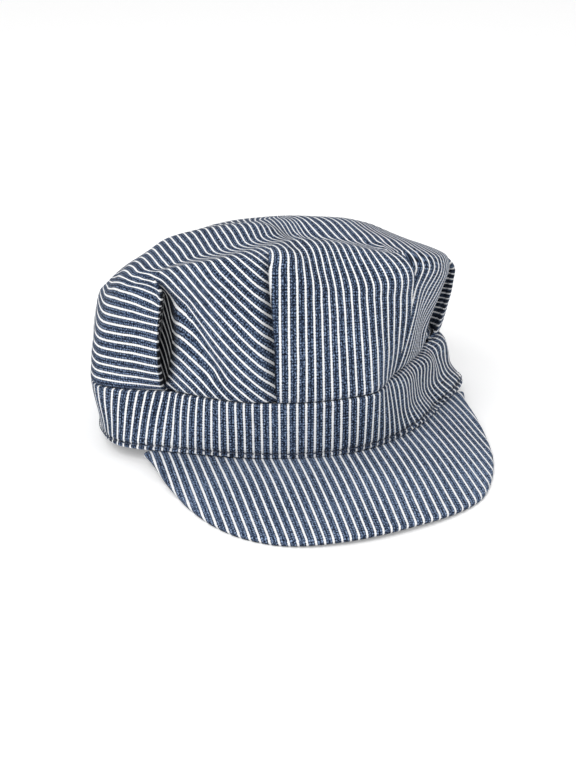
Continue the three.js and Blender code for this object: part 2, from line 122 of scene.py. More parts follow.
# Creases in the crown, and ridges where the depth is below zero: degrees and level of both ends,
# depth and width in shares of the pleat depth.
CREASES = [
    (-67, 0.62, -4, 0.86, 0.35, 0.90),
    (-84, 0.735, -13, 0.870, -0.28, 1.00),
    (-4, 0.86, 25, 0.69, 0.50, 1.10),
    (20, 0.90, 80, 0.80, -0.22, 1.30),
    (-16, 0.67, -3, 0.52, 0.16, 0.50),
    (-67, 0.47, -77, 0.55, 0.25, 0.40),
    (-56, 0.40, -47, 0.16, 0.30, 0.60),
    (30, 0.52, 50, 0.16, 0.20, 1.00),
    (120, 0.80, 170, 0.72, 0.25, 1.10),
    (-140, 0.74, -100, 0.82, 0.22, 1.00),
]
CREASE_STEPS = 9

# Folds in the slack band: degrees and share of the height of both ends, depth and width in
# millimetres.
BAND_FOLDS = [
    (38, 0.95, 52, 0.10, 1.3, 5.0),
    (52, 0.95, 66, 0.15, -1.2, 5.0),
    (24, 0.90, 34, 0.15, -0.9, 5.0),
    (64, 0.90, 80, 0.25, 1.2, 5.0),
    (-66, 0.90, -60, 0.20, 0.8, 5.0),
]

# Fullness of the band's cloth: degrees from the front, share. Sway of its stripes where it is
# slack: share of the height, millimetres.
BAND_FULLNESS = [(-180, 1.0), (-60, 0.96), (0, 0.96), (24, 1.0), (42, 1.1), (50, 1.05), (60, 0.86),
                 (78, 0.68), (100, 0.86), (125, 1.0), (180, 1.0)]
BAND_SWAY = [(0.0, 6.0), (0.2, 2.4), (0.5, 0.0), (0.8, -0.2), (0.93, -1.6), (1.0, -4.2)]

# Lip of the visor: degrees from the front, length beyond the band in shares of the visor's length,
# height of the underside in shares of the front's rise.
LIP = [
    (-69, 0.04, 0.50), (-62, 0.18, 0.38), (-55, 0.34, 0.22), (-48, 0.51, 0.10), (-42, 0.68, 0.02),
    (-36, 0.85, 0.00), (-30, 0.985, 0.02), (-22, 1.08, 0.10), (-12, 1.07, 0.20), (0, 1.00, 0.22),
    (10, 0.96, 0.14), (18, 0.90, 0.06), (26, 0.765, 0.00), (35, 0.60, 0.02), (45, 0.42, 0.12),
    (55, 0.26, 0.26), (65, 0.10, 0.40), (70, 0.04, 0.48),
]

# How the wall leans up from the band's lower edge, how the front rises over the floor, the share
# of the crown's height over which the slump and the front's rise settle, the mean reach of the
# crown in shares of its half width, and the step in levels for a slope.
LEAN_POWER = 1.2
RISE_POWER = 1.1
SETTLE_SHARE = 0.9
MEAN_REACH_SHARE = 0.9
SLOPE_STEP = 0.004

# Cloth between a pleat's layers in millimetres, and how fast that gap closes towards the pleat's end.
LAYER_GAP = 1.15
GAP_CLOSES = 6
# Width of a pleat's overlap that is left at its end in millimetres, and how the overlap narrows.
LEAST_OVERLAP = 0.25
OVERLAP_POWER = 0.8
# Reach of a pleat's own columns to both sides of its edge, and of its layers where they lie side by
# side above its end, in millimetres; the share of its height from which they spread.
PLEAT_MARGIN = 16.0
END_SPREAD = 1.5
CLOSES_FROM = 0.94
# Columns through a pleat from its lower layer to its upper one, as shares of each layer's way, and
# the order of the layers between them where they lie side by side.
LAYERS = [
    ("under", np.linspace(-1, 0, 12)[:-1] ** 3),
    ("below", np.linspace(0, 1, 7)),
    ("turn_in", np.linspace(0, 1, 5)[1:-1]),
    ("return", np.linspace(1, 0, 7)),
    ("turn_out", np.linspace(0, 1, 6)[1:-1]),
    ("over", np.linspace(0, 1, 12) ** 1.6),
]
LAYER_ORDER = {"below": (0.0, 0.3), "turn_in": (0.3, 0.5), "return": (0.5, 0.8), "turn_out": (0.8, 1.0)}
# Share of the step from one panel's stripes to the next that lies in the layer below, and how the
# returning layer rises.
STEP_BELOW = 0.8
RETURN_POWER = 1.5
# Millimetres between the columns of a panel, and the fewest that it has.
PANEL_STEP = 2.4
PANEL_LEAST = 6

# Levels of the crown's rows: first, last and how many, up the wall and over the top.
WALL_LEVELS = (0.035, 0.70, 62)
TOP_LEVELS = (0.70, 0.985, 34)
# Hem of the crown inside the band and over its edge: share of the band's height, inward place in
# shares of the hidden depth and in millimetres, rise in millimetres.
HEM = [(0.80, 1, 0.0, 0.0), (0.92, 1, 0.0, 0.0), (1.0, 1, -0.2, 0.5), (1.0, 1, -1.2, 0.75),
       (1.0, 0, 0.9, 0.9), (1.0, 0, 0.25, 1.5)]
# Millimetres between the crown's two lowest rows, by which the hem's cloth map goes on.
LOWEST_STEP = 1.2
# Metres within which points that close a mesh are joined, and millimetres between pieces that are
# sewn to each other.
SEAM_REACH = 1e-6
CLEARANCE = 0.3
# Rise of the crown's middle point over its last row, in millimetres.
MIDDLE_RISE = 0.15
# Unevenness of worn cloth: size and height in millimetres, seed. The crown's grows in over its
# lowest share of rows.
CROWN_RIPPLES = [(34, 0.9, 3.1), (13, 0.35, 8.4)]
BAND_RIPPLE = (22, 0.8, 5.5)
VISOR_RIPPLE = (30, 0.5, 2.2)
RIPPLE_FROM = 0.12

# The wall's panels from the back right round to the back left: degrees in the middle, degrees that
# their stripes turn, and how much fuller than the rest of the crown they are cut before and beyond
# their middle.
Panel = namedtuple("Panel", "middle turn fuller beyond")
PANELS = [Panel(*row) for row in (
    (-180, -180, 1.00, 1.00), (-133, -135, 1.00, 1.00), (-89, -90, 1.00, 1.00),
    (-45, -52, 0.85, 0.85), (-2, 0, 0.81, 0.81), (48, 16, 0.70, 0.53),
    (91, 90, 1.00, 1.00), (133, 135, 1.00, 1.00), (180, 180, 1.00, 1.00),
)]
# Steps down the smooth crown by which a distance along it is measured.
FALL_STEPS = 121
# Distance below a fold's end over which the stripes settle from the top's run to the panel's.
SETTLE_REACH = 22.0
# Shift of the stripes where a pleat's under layer sinks, in shares of the depth, by its number.
SINK_SHIFT = {2: 0.90}
# Twist of the cloth along the valley between the wall and the top: degrees, level, millimetres
# that the stripes shift across it, and its width in levels.
TWIST = [(-90, 0.56, 0.0, 0.05), (-67, 0.61, 4.0, 0.06), (-54, 0.67, 7.0, 0.07), (-37, 0.735, 8.0, 0.08),
         (-20, 0.80, 10.0, 0.09), (-3, 0.855, 13.0, 0.09), (9, 0.795, 17.0, 0.10), (25, 0.70, 19.0, 0.08)]
# Degrees over which the twist comes in beyond its last row and fades behind it, the pleat behind
# which the twisted cloth lies, and the levels over which its two sides join above that pleat's end.
TWIST_COMES = 8
TWIST_FADE = (70, 130)
TWIST_PLEAT = 4
TWIST_JOIN = 0.05

# Painted shade deep in the pleats: its reach out of a fold in millimetres, how strong it is in the
# pleats that stand wide open, by the pleat's number, and its colour in shares of the ground and the
# stripes.
PAINTED_SHADE_REACH = 4.5
PAINTED_SHADE_IN_OPEN_PLEATS = {3: 0.7, 5: 0.75}
PAINTED_SHADE_GROUND = 0.05
PAINTED_SHADE_STRIPE = 0.50

# Band: degrees between its columns, rows up its outer face, over its edge (with their place inward
# in shares of the wall) and down its inner face in shares of its height, its swell in millimetres,
# and the height of its stitch row over the lower edge, with the depth and half width of the groove
# that the stitches pull in, the strength and half width of the painted shade along it, and how far
# the stitches stand out.
BAND_STEP = 0.75
BAND_ROWS = [0.05, 0.066, 0.082, 0.097, 0.112, 0.128, 0.15, *np.linspace(0.20, 0.97, 14)]
BAND_EDGE = [(0.985, 0.12), (1.0, 0.45), (0.99, 0.85)]
BAND_INNER_ROWS = np.linspace(0.95, 0.05, 10)
BAND_SWELL = 0.5
STITCH_RISE = 2.8
GROOVE_DEPTH = 0.5
GROOVE_REACH = 0.9
PAINTED_GROOVE_SHADE = 0.75
PAINTED_GROOVE_LINE = 0.45
STITCH_STAND = 0.50

# Visor: columns across, rows from the band to the lip and rows round the lip, how far the lip sits
# below its table's heights in millimetres, the swell's share of the arch, and the shade of the lip's
# lower half and the underside with the place from which it comes in.
VISOR_COLUMNS = 150
VISOR_ROWS = 40
LIP_ROWS = 8
LIP_DROP = 0.8
ARCH_SHARE = 0.5
LIP_SHADE = 0.8
LIP_SHADE_FROM = 0.6
# Turn of the visor's stripes: millimetres from its middle towards the wearer's left, degrees. It
# turns round a place in front of the head opening's middle, in shares of the visor's length. The
# visor is a little more faded than the rest.
VISOR_TURN = [(-90, -10), (-40, -11), (0, -11), (35, -7), (75, -2)]
VISOR_TURN_FROM = 1.6
VISOR_FADE = 0.07

# Weave of the denim: noise features to a metre, and the share of each in the ground's tone.
WANDER, FRAY, DRIFT, SPECKLE, SLUB, CLOUD, FLECK = 160, 1900, 700, 1150, 260, 28, 3000
TONES = {"speckle": 1.75, "slub": 0.45, "rib": 0.14, "cloud": 0.25, "column": 0.22}
# Metres that yarns wander and stripe edges fray, bite of the weft ribs into a stripe, softness of
# its edge, and pitch of single yarns.
WANDER_REACH = 0.00022
FRAY_REACH = 0.0004
RIB_BITE = 0.00007
EDGE_SOFTNESS = 0.00010
YARN_PITCH = 0.0005
# How many times longer than wide a wander and a slub are, and how far the ribs drift in radians.
WANDER_STRETCH = 30
SLUB_STRETCH = 6
RIB_DRIFT = 7.0
# Rib columns between two stripes: place in shares of the pitch, inner and outer edge in metres.
COLUMN_PLACE = 0.31
COLUMN_EDGES = (0.00008, 0.00065)
COLUMN_TONE = -0.13
# Tones at which dark yarns turn to the ground and the ground to pale yarns, and the soiled stripe.
DARK_TONES = (0.30, 0.60)
PALE_TONES = (0.54, 0.90)
SOILED = 0.86
# Strength and height in metres of the cloth's and the thread's relief.
CLOTH_BUMP = (0.35, 0.00012)
THREAD_BUMP = (0.4, 0.0001)

# Stitches: sides and rings of one, its length in shares of the pitch, its shortest and longest in
# shares of that, and the seed of their lengths.
STITCH_SIDES, STITCH_RINGS = 8, 6
STITCH_LENGTH = 0.74
STITCH_RANGE = (0.9, 1.08)
STITCH_SEED = 7

# Light of the room, light of the pale floor itself as of a lit backdrop, and the floor's size.
WORLD_LIGHT = 0.50
FLOOR_GLOW = 0.22
FLOOR_SIZE = 12
# Lamps: name, degrees round the cap, degrees up, metres away, metres across, watts. They aim at a
# place in millimetres from the head opening's middle.
LAMPS = [
    ("key", -50, 42, 1.6, 1.2, 16),
    ("fill", 45, 35, 1.8, 1.4, 6),
    ("top", 170, 70, 1.6, 1.4, 5),
]
LAMP_TARGET = (0, -30, 50)

# Camera: degrees round the cap and up, millimetres away from a place at the seam's middle in front,
# that place on the cap and where it stands in the picture, and the picture's scale there.
CAMERA_AZIMUTH = -25.0
CAMERA_ELEVATION = 25.0
CAMERA_DISTANCE = 1100.0
SIGHT_POINT = (-5.0, -85.0, 12.0)
SIGHT_IN_PICTURE = (343.0, 455.0)
PIXELS_PER_MM = 2.11
PICTURE = (576, 768)
SENSOR = 36.0


class CapSizes(bpy.types.PropertyGroup):
    """Sizes of the cap"""

    half_width: bpy.props.FloatProperty(
        name="Half width", description="Half the width of the head opening",
        default=0.098, min=0.05, subtype="DISTANCE", unit="LENGTH")
    band_height: bpy.props.FloatProperty(
        name="Band height", description="Height of the band from its lower edge to the crown seam",
        default=0.029, min=0.01, subtype="DISTANCE", unit="LENGTH")
    band_wall: bpy.props.FloatProperty(
        name="Band wall", description="Thickness of the band",
        default=0.0024, min=0.0005, subtype="DISTANCE", unit="LENGTH")
    front_rise: bpy.props.FloatProperty(
        name="Front rise", description="Height of the band's front over the floor",
        default=0.012, min=0.0, subtype="DISTANCE", unit="LENGTH")
    flat_back: bpy.props.FloatProperty(
        name="Flat back", description="Depth of the back that lies level on the floor",
        default=0.030, min=0.0, subtype="DISTANCE", unit="LENGTH")
    crown_height: bpy.props.FloatProperty(
        name="Crown height", description="Height of the crown over the seam in front",
        default=0.070, min=0.02, subtype="DISTANCE", unit="LENGTH")
    shoulder_round: bpy.props.FloatProperty(
        name="Shoulder rounding", description="Rounding between the crown's wall and its top",
        default=0.015, min=0.002, subtype="DISTANCE", unit="LENGTH")
    pleat_depth: bpy.props.FloatProperty(
        name="Pleat depth", description="Size that the depths of the pleats and creases follow",
        default=0.010, min=0.001, subtype="DISTANCE", unit="LENGTH")
    slump: bpy.props.FloatProperty(
        name="Slump", description="Angle that the crown sinks towards the wearer's left",
        default=math.radians(7.3), subtype="ANGLE", unit="ROTATION")
    cloth: bpy.props.FloatProperty(
        name="Cloth", description="Thickness of one layer of denim",
        default=0.0008, min=0.0002, subtype="DISTANCE", unit="LENGTH")
    visor_length: bpy.props.FloatProperty(
        name="Visor length", description="Length of the visor in front of the band",
        default=0.065, min=0.01, subtype="DISTANCE", unit="LENGTH")
    visor_wall: bpy.props.FloatProperty(
        name="Visor wall", description="Thickness of the visor",
        default=0.0026, min=0.0005, subtype="DISTANCE", unit="LENGTH")
    visor_arch: bpy.props.FloatProperty(
        name="Visor arch", description="How far the visor swells up between the band and its lip",
        default=0.004, min=0.0, subtype="DISTANCE", unit="LENGTH")
    stripe_pitch: bpy.props.FloatProperty(
        name="Stripe pitch", description="Distance between two white stripes",
        default=0.0040, min=0.001, subtype="DISTANCE", unit="LENGTH")
    fullness: bpy.props.FloatProperty(
        name="Fullness", description="How much more cloth the crown is cut from than its shape shows",
        default=1.19, min=1.0, max=2.0)
    stripe_width: bpy.props.FloatProperty(
        name="Stripe width", description="Width of a white stripe",
        default=0.00100, min=0.0002, subtype="DISTANCE", unit="LENGTH")
    rib_pitch: bpy.props.FloatProperty(
        name="Rib pitch", description="Distance between two ribs of the weave",
        default=0.00135, min=0.0002, subtype="DISTANCE", unit="LENGTH")
    stitch_pitch: bpy.props.FloatProperty(
        name="Stitch pitch", description="Distance between two stitches",
        default=0.0030, min=0.001, subtype="DISTANCE", unit="LENGTH")
    stitch_thread: bpy.props.FloatProperty(
        name="Thread", description="Thickness of the sewing thread",
        default=0.00070, min=0.0001, subtype="DISTANCE", unit="LENGTH")


class CapColours(bpy.types.PropertyGroup):
    """Colours of the cap and its stage"""

    ground: bpy.props.FloatVectorProperty(
        name="Denim", description="Blue ground of the denim",
        default=(0.042, 0.067, 0.126), size=3, min=0, max=1, subtype="COLOR")
    dark: bpy.props.FloatVectorProperty(
        name="Dark yarn", description="Darkest yarns of the denim",
        default=(0.004, 0.006, 0.013), size=3, min=0, max=1, subtype="COLOR")
    pale: bpy.props.FloatVectorProperty(
        name="Pale yarn", description="Palest yarns of the blue ground",
        default=(0.26, 0.345, 0.50), size=3, min=0, max=1, subtype="COLOR")
    stripe: bpy.props.FloatVectorProperty(
        name="Stripe", description="White stripe",
        default=(0.90, 0.91, 0.93), size=3, min=0, max=1, subtype="COLOR")
    thread: bpy.props.FloatVectorProperty(
        name="Thread", description="Sewing thread",
        default=(0.035, 0.045, 0.075), size=3, min=0, max=1, subtype="COLOR")
    floor: bpy.props.FloatVectorProperty(
        name="Floor", description="Floor under the cap",
        default=(0.92, 0.92, 0.92), size=3, min=0, max=1, subtype="COLOR")


def millimetres(name):
    """A size of the cap in millimetres."""
    return getattr(bpy.context.scene.cap_sizes, name) / MM


def smooth(t):
    """Soft step from 0 to 1."""
    c = np.clip(t, 0.0, 1.0)
    return c * c * (3 - 2 * c)


def mix(a, b, t):
    """Value on the way from a to b."""
    return a + (b - a) * t


def distance_to_line(points, start, end):
    """Distance of points from the straight line between two places."""
    along = end - start
    place = np.clip(((points - start) @ along) / (along @ along), 0, 1)
    return np.linalg.norm(points - start - place[..., None] * along, axis=-1)


def curve_weights(keys, at, closed=False):
    """Weights that turn the values at the keys into a smooth curve's values at given places."""
    keys = np.asarray(keys, float)
    at = np.clip(np.asarray(at, float), keys[0], keys[-1])
    count = len(keys)
    slopes = np.zeros((count, count))
    for i in range(count):
        before, after = max(i - 1, 0), min(i + 1, count - 1)
        span = keys[after] - keys[before]
        if closed and i in (0, count - 1):
            before, after = count - 2, 1
            span = keys[1] - keys[0] + keys[-1] - keys[-2]
        slopes[i, after] += 1 / span
        slopes[i, before] -= 1 / span
    i = np.clip(np.searchsorted(keys, at, side="right") - 1, 0, count - 2)
    span = keys[i + 1] - keys[i]
    t = (at - keys[i]) / span
    unit = np.eye(count)
    parts = (
        (2 * t**3 - 3 * t**2 + 1, unit[i]), ((t**3 - 2 * t**2 + t) * span, slopes[i]),
        (3 * t**2 - 2 * t**3, unit[i + 1]), ((t**3 - t**2) * span, slopes[i + 1]),
    )
    return sum(share[..., None] * rows for share, rows in parts)


def curve_through(keys, values, closed=False):
    """A smooth curve through a table's rows."""
    values = np.asarray(values, float)
    return lambda at: curve_weights(keys, at, closed) @ values


def around_cap(table, column, size):
    """A column of a table as a curve of the angle. A table that starts at 0 is mirrored."""
    rows = list(table)
    if rows[0][0] == 0:
        rows = [(-row[0], *row[1:]) for row in reversed(rows[1:])] + rows
    curve = curve_through([row[0] for row in rows], [row[column] * size for row in rows], True)
    return lambda angle: curve((np.asarray(angle, float) + 540) % 360 - 180)


class CapShape:
    """The cap's forms worked out from its sizes, in millimetres round the head opening's middle."""

    def __init__(self):
        half, band, crown = (millimetres(name) for name in ("half_width", "band_height", "crown_height"))
        self.half, self.band, self.crown = half, band, crown
        self.lower_reach = around_cap(RING, 1, half)
        self.lean = around_cap(LEAN, 1, band)
        self.belly = around_cap(CROWN, 1, crown)
        self.shoulder_reach = around_cap(CROWN, 2, half)
        self.shoulder_height = around_cap(CROWN, 3, crown)
        self.middle_height = around_cap(CROWN, 4, crown)
        self.rounding = around_cap(CROWN, 5, millimetres("shoulder_round"))
        self.stand = curve_through(*zip(*PLEAT_STAND))
        self.slack = around_cap(BAND_SLACK, 1, 1.0)
        self.slack_way = curve_through(*zip(*SLACK_WAY))
        self.front = float(self.lower_reach(0))
        self.back = float(self.lower_reach(180))
        self.depth = millimetres("pleat_depth")
        self.per_degree = math.radians(1) * half * MEAN_REACH_SHARE
        low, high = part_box("band")
        ring = self.band_point(np.arange(-180, 180, 0.25), 0.0)
        self.shift = np.array([
            (low[0] + high[0]) / 2 / MM - (ring[:, 0].min() + ring[:, 0].max()) / 2,
            high[1] / MM - self.back,
            0.0,
        ])

    def lift(self, y):
        """Height of the band's lower edge over the floor."""
        level_from = self.back - millimetres("flat_back")
        share = np.clip((level_from - y) / (level_from + self.front), 0, 1)
        return millimetres("front_rise") * share**RISE_POWER

    def polar(self, angle, reach, z):
        """Point at degrees from the front, reach from the middle and height."""
        turn = np.radians(angle)
        return np.stack(np.broadcast_arrays(reach * np.sin(turn), -reach * np.cos(turn), z), -1)

    def band_point(self, angle, share, inward=0.0):
        """Outer face of the band: share 0 at its lower edge, 1 at the crown seam.

        Where the wall is slack it flares at the lower edge and rolls over at the seam."""
        angle = np.asarray(angle, float)
        low = self.lower_reach(angle)
        even = np.clip(share, 0, 1) ** LEAN_POWER
        slack = mix(even, self.slack_way(share), self.slack(angle))
        reach = low + self.lean(angle) * slack
        lift = self.lift(-low * np.cos(np.radians(angle)))
        return self.polar(angle, reach - inward, lift + self.band * share)

    def profile(self, angle, level):
        """Reach and height over the seam of the smooth crown."""
        angle, level = np.broadcast_arrays(np.asarray(angle, float), np.asarray(level, float))
        seam = self.lower_reach(angle) + self.lean(angle)
        shoulder, height = self.shoulder_reach(angle), self.shoulder_height(angle)
        rounding = self.rounding(angle)
        reaches = [mix(seam, shoulder, row[1]) + self.belly(angle) * row[2] - rounding * row[5]
                   for row in PROFILE]
        heights = [height * row[3] - rounding * row[4] for row in PROFILE]
        reaches += [shoulder * MIDDLE_REACH, shoulder * 0]
        heights += [self.middle_height(angle), shoulder * 0 + CROWN_CENTRE * self.crown]
        weights = curve_weights([row[0] for row in PROFILE] + [MIDDLE_LEVEL, 1.0], level)
        return (weights * np.stack(reaches, -1)).sum(-1), (weights * np.stack(heights, -1)).sum(-1)

    def base(self, angle, level):
        """The smooth crown, slumped a little to one side."""
        angle = np.asarray(angle, float)
        reach, height = self.profile(angle, level)
        seam_lift = self.lift(-self.lower_reach(angle) * np.cos(np.radians(angle)))
        settle = smooth(height / (SETTLE_SHARE * self.crown))
        points = self.polar(angle, reach, height)
        lift = mix(seam_lift, self.lift(points[..., 1]), settle)
        tilt = math.tan(bpy.context.scene.cap_sizes.slump)
        points[..., 2] += lift + self.band - tilt * points[..., 0] * settle
        return points

    def outward(self, angle, level):
        """Outward direction of the smooth crown, in the upright plane through the middle."""
        below = self.profile(angle, np.maximum(level - SLOPE_STEP, 0))
        above = self.profile(angle, np.minimum(level + SLOPE_STEP, 1))
        run, rise = above[0] - below[0], above[1] - below[1]
        length = np.hypot(run, rise)
        return self.polar(angle, rise / length, -run / length)

    def crease_push(self, points):
        """How far the creases press the cloth in."""
        push = np.zeros(points.shape[:-1])
        share = np.linspace(0, 1, CREASE_STEPS)
        for angle1, level1, angle2, level2, depth, width in CREASES:
            path = self.base(mix(angle1, angle2, share), mix(level1, level2, share))
            away = np.full(points.shape[:-1], np.inf)
            for start, end in zip(path[:-1], path[1:]):
                away = np.minimum(away, distance_to_line(points, start, end))
            push -= depth * self.depth * np.exp(-((away / (width * self.depth)) ** 2))
        return push


def pleat_angle(pleat, level):
    """Degrees from the front of a pleat's edge at a level."""
    return np.interp(level / pleat.end, PLEAT_STEPS, (pleat.seam, pleat.half, pleat.upper, pleat.top))


def layer_push(shape, pleat, away, level, upper):
    """How far a pleat lifts its upper layer or sinks its under layer, away from its edge."""
    stand = shape.stand(np.clip(level / pleat.end, 0, 1)) * shape.depth
    if upper:
        return pleat.proud * stand * np.exp(-((away / (pleat.ease_over * shape.depth)) ** 2))
    sink = np.maximum(pleat.sunk * stand, 2 * layer_gap(pleat, level))
    return -sink * np.exp(-((away / (pleat.ease_under * shape.depth)) ** 2))


def layer_gap(pleat, level):
    """Distance between the folded layers of a pleat, closing at its end."""
    return LAYER_GAP * smooth((1 - level / pleat.end) * GAP_CLOSES)


def ripple(points, size, height, seed):
    """Gentle unevenness of worn cloth, in millimetres."""
    flat = points.reshape(-1, 3) / size
    values = [noise.noise(Vector((x + seed, y, z)), noise_basis="PERLIN_ORIGINAL") for x, y, z in flat]
    return height * np.array(values).reshape(points.shape[:-1])


def add_object(name, data):
    """A new object of the scene."""
    thing = bpy.data.objects.new(name, data)
    bpy.context.scene.collection.objects.link(thing)
    return thing


def add_mesh(name, positions, faces, uvs, painted_shade):
    """A mesh object from positions, a cloth map in millimetres and the painted shade at each point."""
    mesh = bpy.data.meshes.new(name)
    mesh.from_pydata((positions * MM).tolist(), [], faces)
    layer = mesh.uv_layers.new(name="Cloth")
    loops = np.zeros(len(mesh.loops), dtype=np.int32)
    mesh.loops.foreach_get("vertex_index", loops)
    layer.data.foreach_set("uv", (uvs[loops] * MM).ravel())
    # Painted shade, kept as a point attribute that darkens the denim.
    mesh.attributes.new("PaintedShade", "FLOAT", "POINT").data.foreach_set("value", painted_shade)
    mesh.polygons.foreach_set("use_smooth", [True] * len(mesh.polygons))
    mesh.update()
    return add_object(name, mesh)


def grid_faces(rows, columns, start=0, flip=False, rings=True):
    """Quads between rows of points, each of which closes to a ring or stays open."""
    faces = []
    for row in range(rows - 1):
        for column in range(columns if rings else columns - 1):
            after = (column + 1) % columns
            a = start + row * columns + column
            b = start + row * columns + after
            quad = (a, b, b + columns, a + columns)
            faces.append(quad[::-1] if flip else quad)
    return faces


def grid_normals(points):
    """Unit normals of a grid of points, rows of rings."""
    across = np.roll(points, -1, axis=1) - np.roll(points, 1, axis=1)
    along = np.gradient(points, axis=0)
    normals = np.cross(across, along)
    length = np.linalg.norm(normals, axis=-1, keepdims=True)
    return normals / np.maximum(length, 1e-9)


def finish_piece(piece, node):
    """Hands a piece over to the frame in place of its CAD node."""
    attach(piece, "root")
    if node:
        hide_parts(node)


class Nodes:
    """Short calls for building a node tree."""

    def __init__(self, tree):
        self.tree = tree

    def feed(self, node, values):
        """Sets or links inputs of a node, given by their names or their places."""
        for place, value in dict(values).items():
            if isinstance(value, bpy.types.NodeSocket):
                self.tree.links.new(value, node.inputs[place])
            else:
                node.inputs[place].default_value = value

    def add(self, kind, values=(), **settings):
        node = self.tree.nodes.new(kind)
        for name, value in settings.items():
            setattr(node, name, value)
        self.feed(node, values)
        return node

    def maths(self, operation, *values):
        return self.add("ShaderNodeMath", enumerate(values), operation=operation).outputs[0]

    def ramp(self, value, low, high, to_low=0.0, to_high=1.0):
        values = enumerate((value, low, high, to_low, to_high))
        return self.add("ShaderNodeMapRange", values, interpolation_type="SMOOTHSTEP").outputs[0]

    def blend(self, share, first, second):
        return self.add("ShaderNodeMix", {0: share, 6: first, 7: second}, data_type="RGBA").outputs[2]

    def noise(self, vector, scale, detail=2.0, roughness=0.5):
        values = {"Vector": vector, "Scale": scale, "Detail": detail, "Roughness": roughness}
        return self.add("ShaderNodeTexNoise", values).outputs["Fac"]

    def bump(self, height, strength, distance):
        values = {"Strength": strength, "Distance": distance, "Height": height}
        return self.add("ShaderNodeBump", values).outputs[0]

    def vector(self, x, y, z=0.0):
        return self.add("ShaderNodeCombineXYZ", enumerate((x, y, z))).outputs[0]


def new_material(name):
    """A new node material, the helper for its nodes, and its shader."""
    material = bpy.data.materials.new(name)
    material.use_nodes = True
    material.node_tree.nodes.clear()
    nodes = Nodes(material.node_tree)
    shader = nodes.add("ShaderNodeBsdfPrincipled")
    nodes.add("ShaderNodeOutputMaterial", {0: shader.outputs[0]})
    return material, nodes, shader


def weave_noise(n, u, v, features, stretch=1, detail=1.0, roughness=0.5):
    """Noise over the cloth map, drawn out along V where it is stretched."""
    across = n.maths("MULTIPLY", u, stretch) if stretch > 1 else u
    return n.noise(n.vector(across, v), features, detail, roughness)


def off_centre(n, value):
    """A noise moved to run from minus to plus a half."""
    return n.maths("SUBTRACT", value, 0.5)


def striped_denim(name, fade=0.0):
    """Blue denim with white stripes along V of the piece's cloth map."""
    sizes, colours = bpy.context.scene.cap_sizes, bpy.context.scene.cap_colours
    material, n, shader = new_material(name)
    cloth = n.add("ShaderNodeUVMap", uv_map="Cloth").outputs[0]
    u, v = n.add("ShaderNodeSeparateXYZ", {0: cloth}).outputs[:2]
    # Yarns wander a little to the side, and the stripe's edges are beaded by the weave.
    wander = off_centre(n, weave_noise(n, u, v, WANDER, WANDER_STRETCH))
    fray = off_centre(n, weave_noise(n, u, v, FRAY))
    shifted = n.maths("MULTIPLY_ADD", wander, WANDER_REACH, n.maths("MULTIPLY_ADD", fray, FRAY_REACH, u))
    turn = n.maths("FRACT", n.maths("DIVIDE", shifted, sizes.stripe_pitch))
    away = n.maths("MULTIPLY", n.maths("ABSOLUTE", off_centre(n, turn)), sizes.stripe_pitch)
    drift = n.maths("MULTIPLY", weave_noise(n, u, v, DRIFT), RIB_DRIFT)
    rib = n.maths("SINE", n.maths("MULTIPLY_ADD", v, 2 * math.pi / sizes.rib_pitch, drift))
    half = n.maths("MULTIPLY_ADD", rib, RIB_BITE, sizes.stripe_width / 2)
    white = n.ramp(n.maths("SUBTRACT", away, half), -EDGE_SOFTNESS, EDGE_SOFTNESS, 1.0, 0.0)
    # The blue ground: ribs of the weft in two columns between the stripes, slubs along the yarns,
    # speckles, and dark yarns beside each stripe.
    beside = n.maths("ABSOLUTE", n.maths("SUBTRACT", away, sizes.stripe_pitch * COLUMN_PLACE))
    column = n.ramp(beside, *COLUMN_EDGES, 1.0, 0.0)
    speckle = weave_noise(n, u, v, SPECKLE, detail=2.0, roughness=0.75)
    slub = weave_noise(n, u, v, SLUB, SLUB_STRETCH, 2.0, 0.6)
    cloud = weave_noise(n, u, v, CLOUD, detail=3.0)
    tone = n.maths("MULTIPLY_ADD", off_centre(n, speckle), TONES["speckle"], 0.5)
    tone = n.maths("ADD", tone, n.maths("MULTIPLY", off_centre(n, slub), TONES["slub"]))
    tone = n.maths("ADD", tone, n.maths("MULTIPLY", n.maths("MULTIPLY", rib, column), TONES["rib"]))
    tone = n.maths("ADD", tone, n.maths("MULTIPLY_ADD", off_centre(n, cloud), TONES["cloud"], fade))
    tone = n.maths("ADD", tone, n.maths("MULTIPLY_ADD", column, TONES["column"], COLUMN_TONE))
    ground = n.blend(n.ramp(tone, *DARK_TONES), (*colours.dark, 1.0), (*colours.ground, 1.0))
    ground = n.blend(n.ramp(tone, *PALE_TONES), ground, (*colours.pale, 1.0))
    soiled_and_shaded = n.blend(n.ramp(slub, 0.25, 0.75), shaded(colours.stripe, SOILED), (*colours.stripe, 1.0))
    # Painted shade: the denim darkens where the mesh's shade attribute is set, deep in the pleats, along
    # the band's stitch groove and on the visor's lip and underside.
    painted_shade_share = n.add("ShaderNodeAttribute", attribute_name="PaintedShade").outputs["Fac"]
    ground = n.blend(painted_shade_share, ground, shaded(colours.ground, PAINTED_SHADE_GROUND))
    soiled_and_shaded = n.blend(painted_shade_share, soiled_and_shaded, shaded(colours.stripe, PAINTED_SHADE_STRIPE))
    yarns = [n.maths("SINE", n.maths("MULTIPLY", way, 2 * math.pi / YARN_PITCH)) for way in (u, v)]
    height = n.maths("MULTIPLY_ADD", n.maths("MULTIPLY", *yarns), 0.3,
                     n.maths("MULTIPLY_ADD", white, 0.5, speckle))
    n.feed(shader, {
        "Base Color": n.blend(white, ground, soiled_and_shaded), "Normal": n.bump(height, *CLOTH_BUMP),
        "Roughness": 0.9, "Specular IOR Level": 0.12, "Sheen Weight": 0.04, "Sheen Roughness": 0.5})
    return material


def shaded(colour, share):
    """A share of a colour, opaque."""
    return (*[c * share for c in colour], 1.0)


